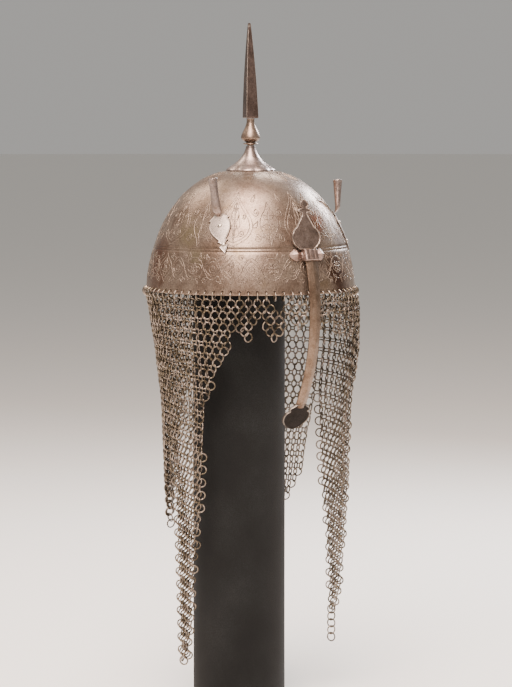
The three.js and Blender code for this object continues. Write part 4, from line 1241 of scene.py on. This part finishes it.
# %% [markdown]
# A row hangs lower than the one above it by its pitch, which follows from the ring's size and
# from how far apart the rings of a row stand: crowded rings hang longer. In the tails the
# weight pulls the columns together and the rows slope down towards the front edge. Rings of
# neighbouring rows turn opposite ways, which is what lets them pass through each other. A
# ring stays only if a ring above holds it, so the edge and the two torn gaps can't float.

# %% Where the rings hang
HANGER_RADIUS = 103.4 * MM
HANGER_BELOW_RIM = 0.85 * MM
FIRST_DROP = 7.6 * MM
GATHER_DROPS = np.array([0, 110, 150, 230, SIDE_DROP]) * MM
GATHERS = [1, 1, 0.84, 0.6, 0.52]
TURNS = np.radians([33, 52])
SLOPE_DROPS = np.array([0, 40, 130, 190, 230, SIDE_DROP]) * MM
ROW_SLOPES = [0, 0.04, 0.15, 0.24, 0.3, 0.35]
SIDE_TAIL = 82 * DEGREE
BACK_TAIL = 134.5 * DEGREE
TAIL_SPLIT = 103.2 * DEGREE
TAILS_FROM = 40 * DEGREE
TAIL_RADIUS = 0.86 * MAIL_TOP_RADIUS
MISSING = [(-19.0, 7.5, 5.5), (-18.0, 13.0, 5.5)]
MISSING_HEIGHT = 3
MM_PER_DEGREE = 1.8
rng = np.random.default_rng(7)


def ring_turn(drop):
    """Crowded rings turn further out of the skirt's face"""
    return float(np.interp(np.interp(drop, GATHER_DROPS, GATHERS), [GATHERS[-1], 1], TURNS[::-1]))


def row_drops():
    drops = [FIRST_DROP]
    while drops[-1] < (SIDE_DROP - 2) * MM:
        share = np.interp(drops[-1], DRAPE_DROPS, DRAPE_RADII) * np.interp(drops[-1], GATHER_DROPS, GATHERS)
        apart = math.tau * MAIL_TOP_RADIUS / RIM_HOLES * share
        half = apart / (4 * math.cos(ring_turn(drops[-1])))
        drops.append(drops[-1] + 2 * math.sqrt(RING_RADIUS ** 2 - half ** 2) - WIRE)
    return drops


def hang_ring(row, column, drops):
    """Angle and drop of one ring before the edge is cut, and the slope of its row"""
    start = ((column + 0.5 + 0.5 * (row % 2)) / RIM_HOLES * math.tau + math.pi) % math.tau - math.pi
    side = 1 if start > 0 else -1
    tail = side * (SIDE_TAIL if abs(start) < TAIL_SPLIT else BACK_TAIL)
    drop = drops[row]
    gather = np.interp(drop, GATHER_DROPS, GATHERS)
    slope = np.interp(drop, SLOPE_DROPS, ROW_SLOPES) if abs(start) > TAILS_FROM else 0
    alpha = tail + (start - tail) * gather
    towards_front = (abs(tail) - abs(alpha)) * TAIL_RADIUS
    return start, alpha, drop + towards_front * slope * (abs(tail) == SIDE_TAIL), slope * side


def lay_rings():
    drops = row_drops()
    kept = {}
    for row in range(len(drops)):
        for column in range(RIM_HOLES):
            start, alpha, drop, slope = hang_ring(row, column, drops)
            limit = np.interp(alpha, EDGE_ANGLES, EDGE_DROPS)
            crosses = (abs(start) < TAIL_SPLIT) != (abs(alpha) < TAIL_SPLIT)
            above = [(row - 1, (column + step) % RIM_HOLES) for step in ((0, 1) if row % 2 else (-1, 0))]
            held = row == 0 or any(spot in kept for spot in above)
            torn = any(abs(alpha / DEGREE - middle) * MM_PER_DEGREE < reach
                       and abs(drop / MM - low) < MISSING_HEIGHT for middle, low, reach in MISSING)
            if held and not torn and not crosses and drop + RING_RADIUS * 0.5 <= limit:
                kept[(row, column)] = (alpha, drop, slope)
    return kept, drops


rings, drops = lay_rings()
print(len(rings), "rings in", len(drops), "rows, pitch",
      round((drops[1] - drops[0]) / MM, 2), "to", round((drops[-1] - drops[-2]) / MM, 2), "mm")

# %% [markdown]
# Thousands of ring objects would be slow. A copy of one ring's points is moved and turned by
# each ring's own frame instead, and all copies of a part of the skirt become one mesh. The
# frame follows the skirt: across the row, down the column, and out of the skirt's face.

# %% Rings as meshes
def copies_mesh(name, base, centres, axes, soot_and_shade):
    """One mesh of many copies of a base mesh, each with its place, its three axes and its soot"""
    points = np.array([vert.co for vert in base.vertices])
    corners = np.array([face.vertices for face in base.polygons])
    placed = centres[:, None, :] + np.einsum("pk,ckj->cpj", points, axes)
    faces = corners[None] + np.arange(len(centres))[:, None, None] * len(points)
    mesh = bpy.data.meshes.new(name)
    mesh.vertices.add(placed.size // 3)
    mesh.vertices.foreach_set("co", placed.ravel())
    mesh.loops.add(faces.size)
    mesh.loops.foreach_set("vertex_index", faces.ravel())
    mesh.polygons.add(faces.size // 4)
    mesh.polygons.foreach_set("loop_start", np.arange(0, faces.size, 4))
    mesh.update(calc_edges=True)
    dark = mesh.attributes.new("soot_and_shade", "FLOAT", "POINT")
    dark.data.foreach_set("value", np.repeat(soot_and_shade, len(points)))
    return mesh


def ring_frame(alpha, drop, turn, slope):
    """Centre and axes of a ring in the skirt: across the row, down the column, and its own axis"""
    radius = mail_radius(alpha, drop)
    step = 2 * MM
    fall = math.atan2(mail_radius(alpha, drop + step) - radius, step)
    outward = at(1, alpha, 0)
    aside = at(1, alpha + math.pi / 2, 0)
    down = np.array([0, 0, -math.cos(fall)]) + outward * math.sin(fall)
    face = np.cross(down, aside)
    lean = math.atan(slope)
    row_axis = aside * math.cos(lean) - down * math.sin(lean)
    column_axis = aside * math.sin(lean) + down * math.cos(lean)
    across = row_axis * math.cos(turn) + face * math.sin(turn)
    axis = np.cross(across, column_axis)
    return at(radius, alpha, RIM_Z - drop), np.array([across, column_axis, axis])


sample_centre, _ = ring_frame(0, FIRST_DROP, ring_turn(FIRST_DROP), 0)
print("the first ring over the brow hangs at", sample_centre.round(4))

# %% [markdown]
# On the real helmet a few single rings still hang in chains from the tips of the tails, each
# turned across the last. The other rings shake a little in their places, by draws from one
# seeded generator, and a few are darker with soot, so the mail doesn't look machine made.

# %% The parts of the mail
CHAINS = {"mail_left_tail": (86.3, 331.5, 5), "mail_right_tail": (-90.5, 367.0, 1)}
CHAIN_PITCH = 2 * RING_RADIUS - WIRE
CHAIN_FACING = -59 * DEGREE
CHAIN_TURN = 30 * DEGREE
MOST_SOOT = 0.6
SHAKE_TURN = 3 * DEGREE
SHAKE_ASIDE = 0.1 * MM
SHAKE_DROP = 0.08 * MM
FRONT_REACH = 41 * DEGREE
PARTS = ("mail_brow", "mail_left_tail", "mail_right_tail", "mail_back")


def chain_frames(name):
    if name not in CHAINS:
        return []
    alpha, drop, count = CHAINS[name]
    return [ring_frame(alpha * DEGREE, drop * MM + CHAIN_PITCH * k,
                       CHAIN_FACING + CHAIN_TURN * (-1) ** k, 0) for k in range(count)]


def part_of(alpha):
    if abs(alpha) < FRONT_REACH:
        return "mail_brow"
    if abs(alpha) > TAIL_SPLIT:
        return "mail_back"
    return "mail_left_tail" if alpha > 0 else "mail_right_tail"


def add_mail(name, centres, axes, soot_and_shade):
    mesh = copies_mesh(name, one_ring, np.array(centres), np.array(axes), soot_and_shade)
    add_piece(name, mesh, wire_steel, "helmet", ["mail_aventail"])


def add_hangers():
    alphas = (np.arange(RIM_HOLES) + 0.5) / RIM_HOLES * math.tau
    outward = at(1, alphas, 0.0)
    up = np.tile([0.0, 0.0, 1.0], (RIM_HOLES, 1))
    axes = np.stack([outward, up, np.cross(outward, up)], 1)
    add_mail("mail_hanger_rings", at(HANGER_RADIUS, alphas, RIM_Z - HANGER_BELOW_RIM), axes,
             np.zeros(RIM_HOLES))


def add_part(name):
    frames = chain_frames(name)
    for (row, _), (alpha, drop, slope) in rings.items():
        if part_of(alpha) == name:
            shake = rng.normal(0, 1, 3)
            turn = ring_turn(drop) * (1 if row % 2 else -1) + SHAKE_TURN * shake[0]
            frames.append(ring_frame(alpha + shake[1] * SHAKE_ASIDE / MAIL_TOP_RADIUS,
                                     drop + shake[2] * SHAKE_DROP, turn, slope))
    soot_and_shade = MOST_SOOT * rng.random(len(frames)) ** 2
    add_mail(name, *zip(*frames), soot_and_shade)


add_hangers()
for part in PARTS:
    add_part(part)
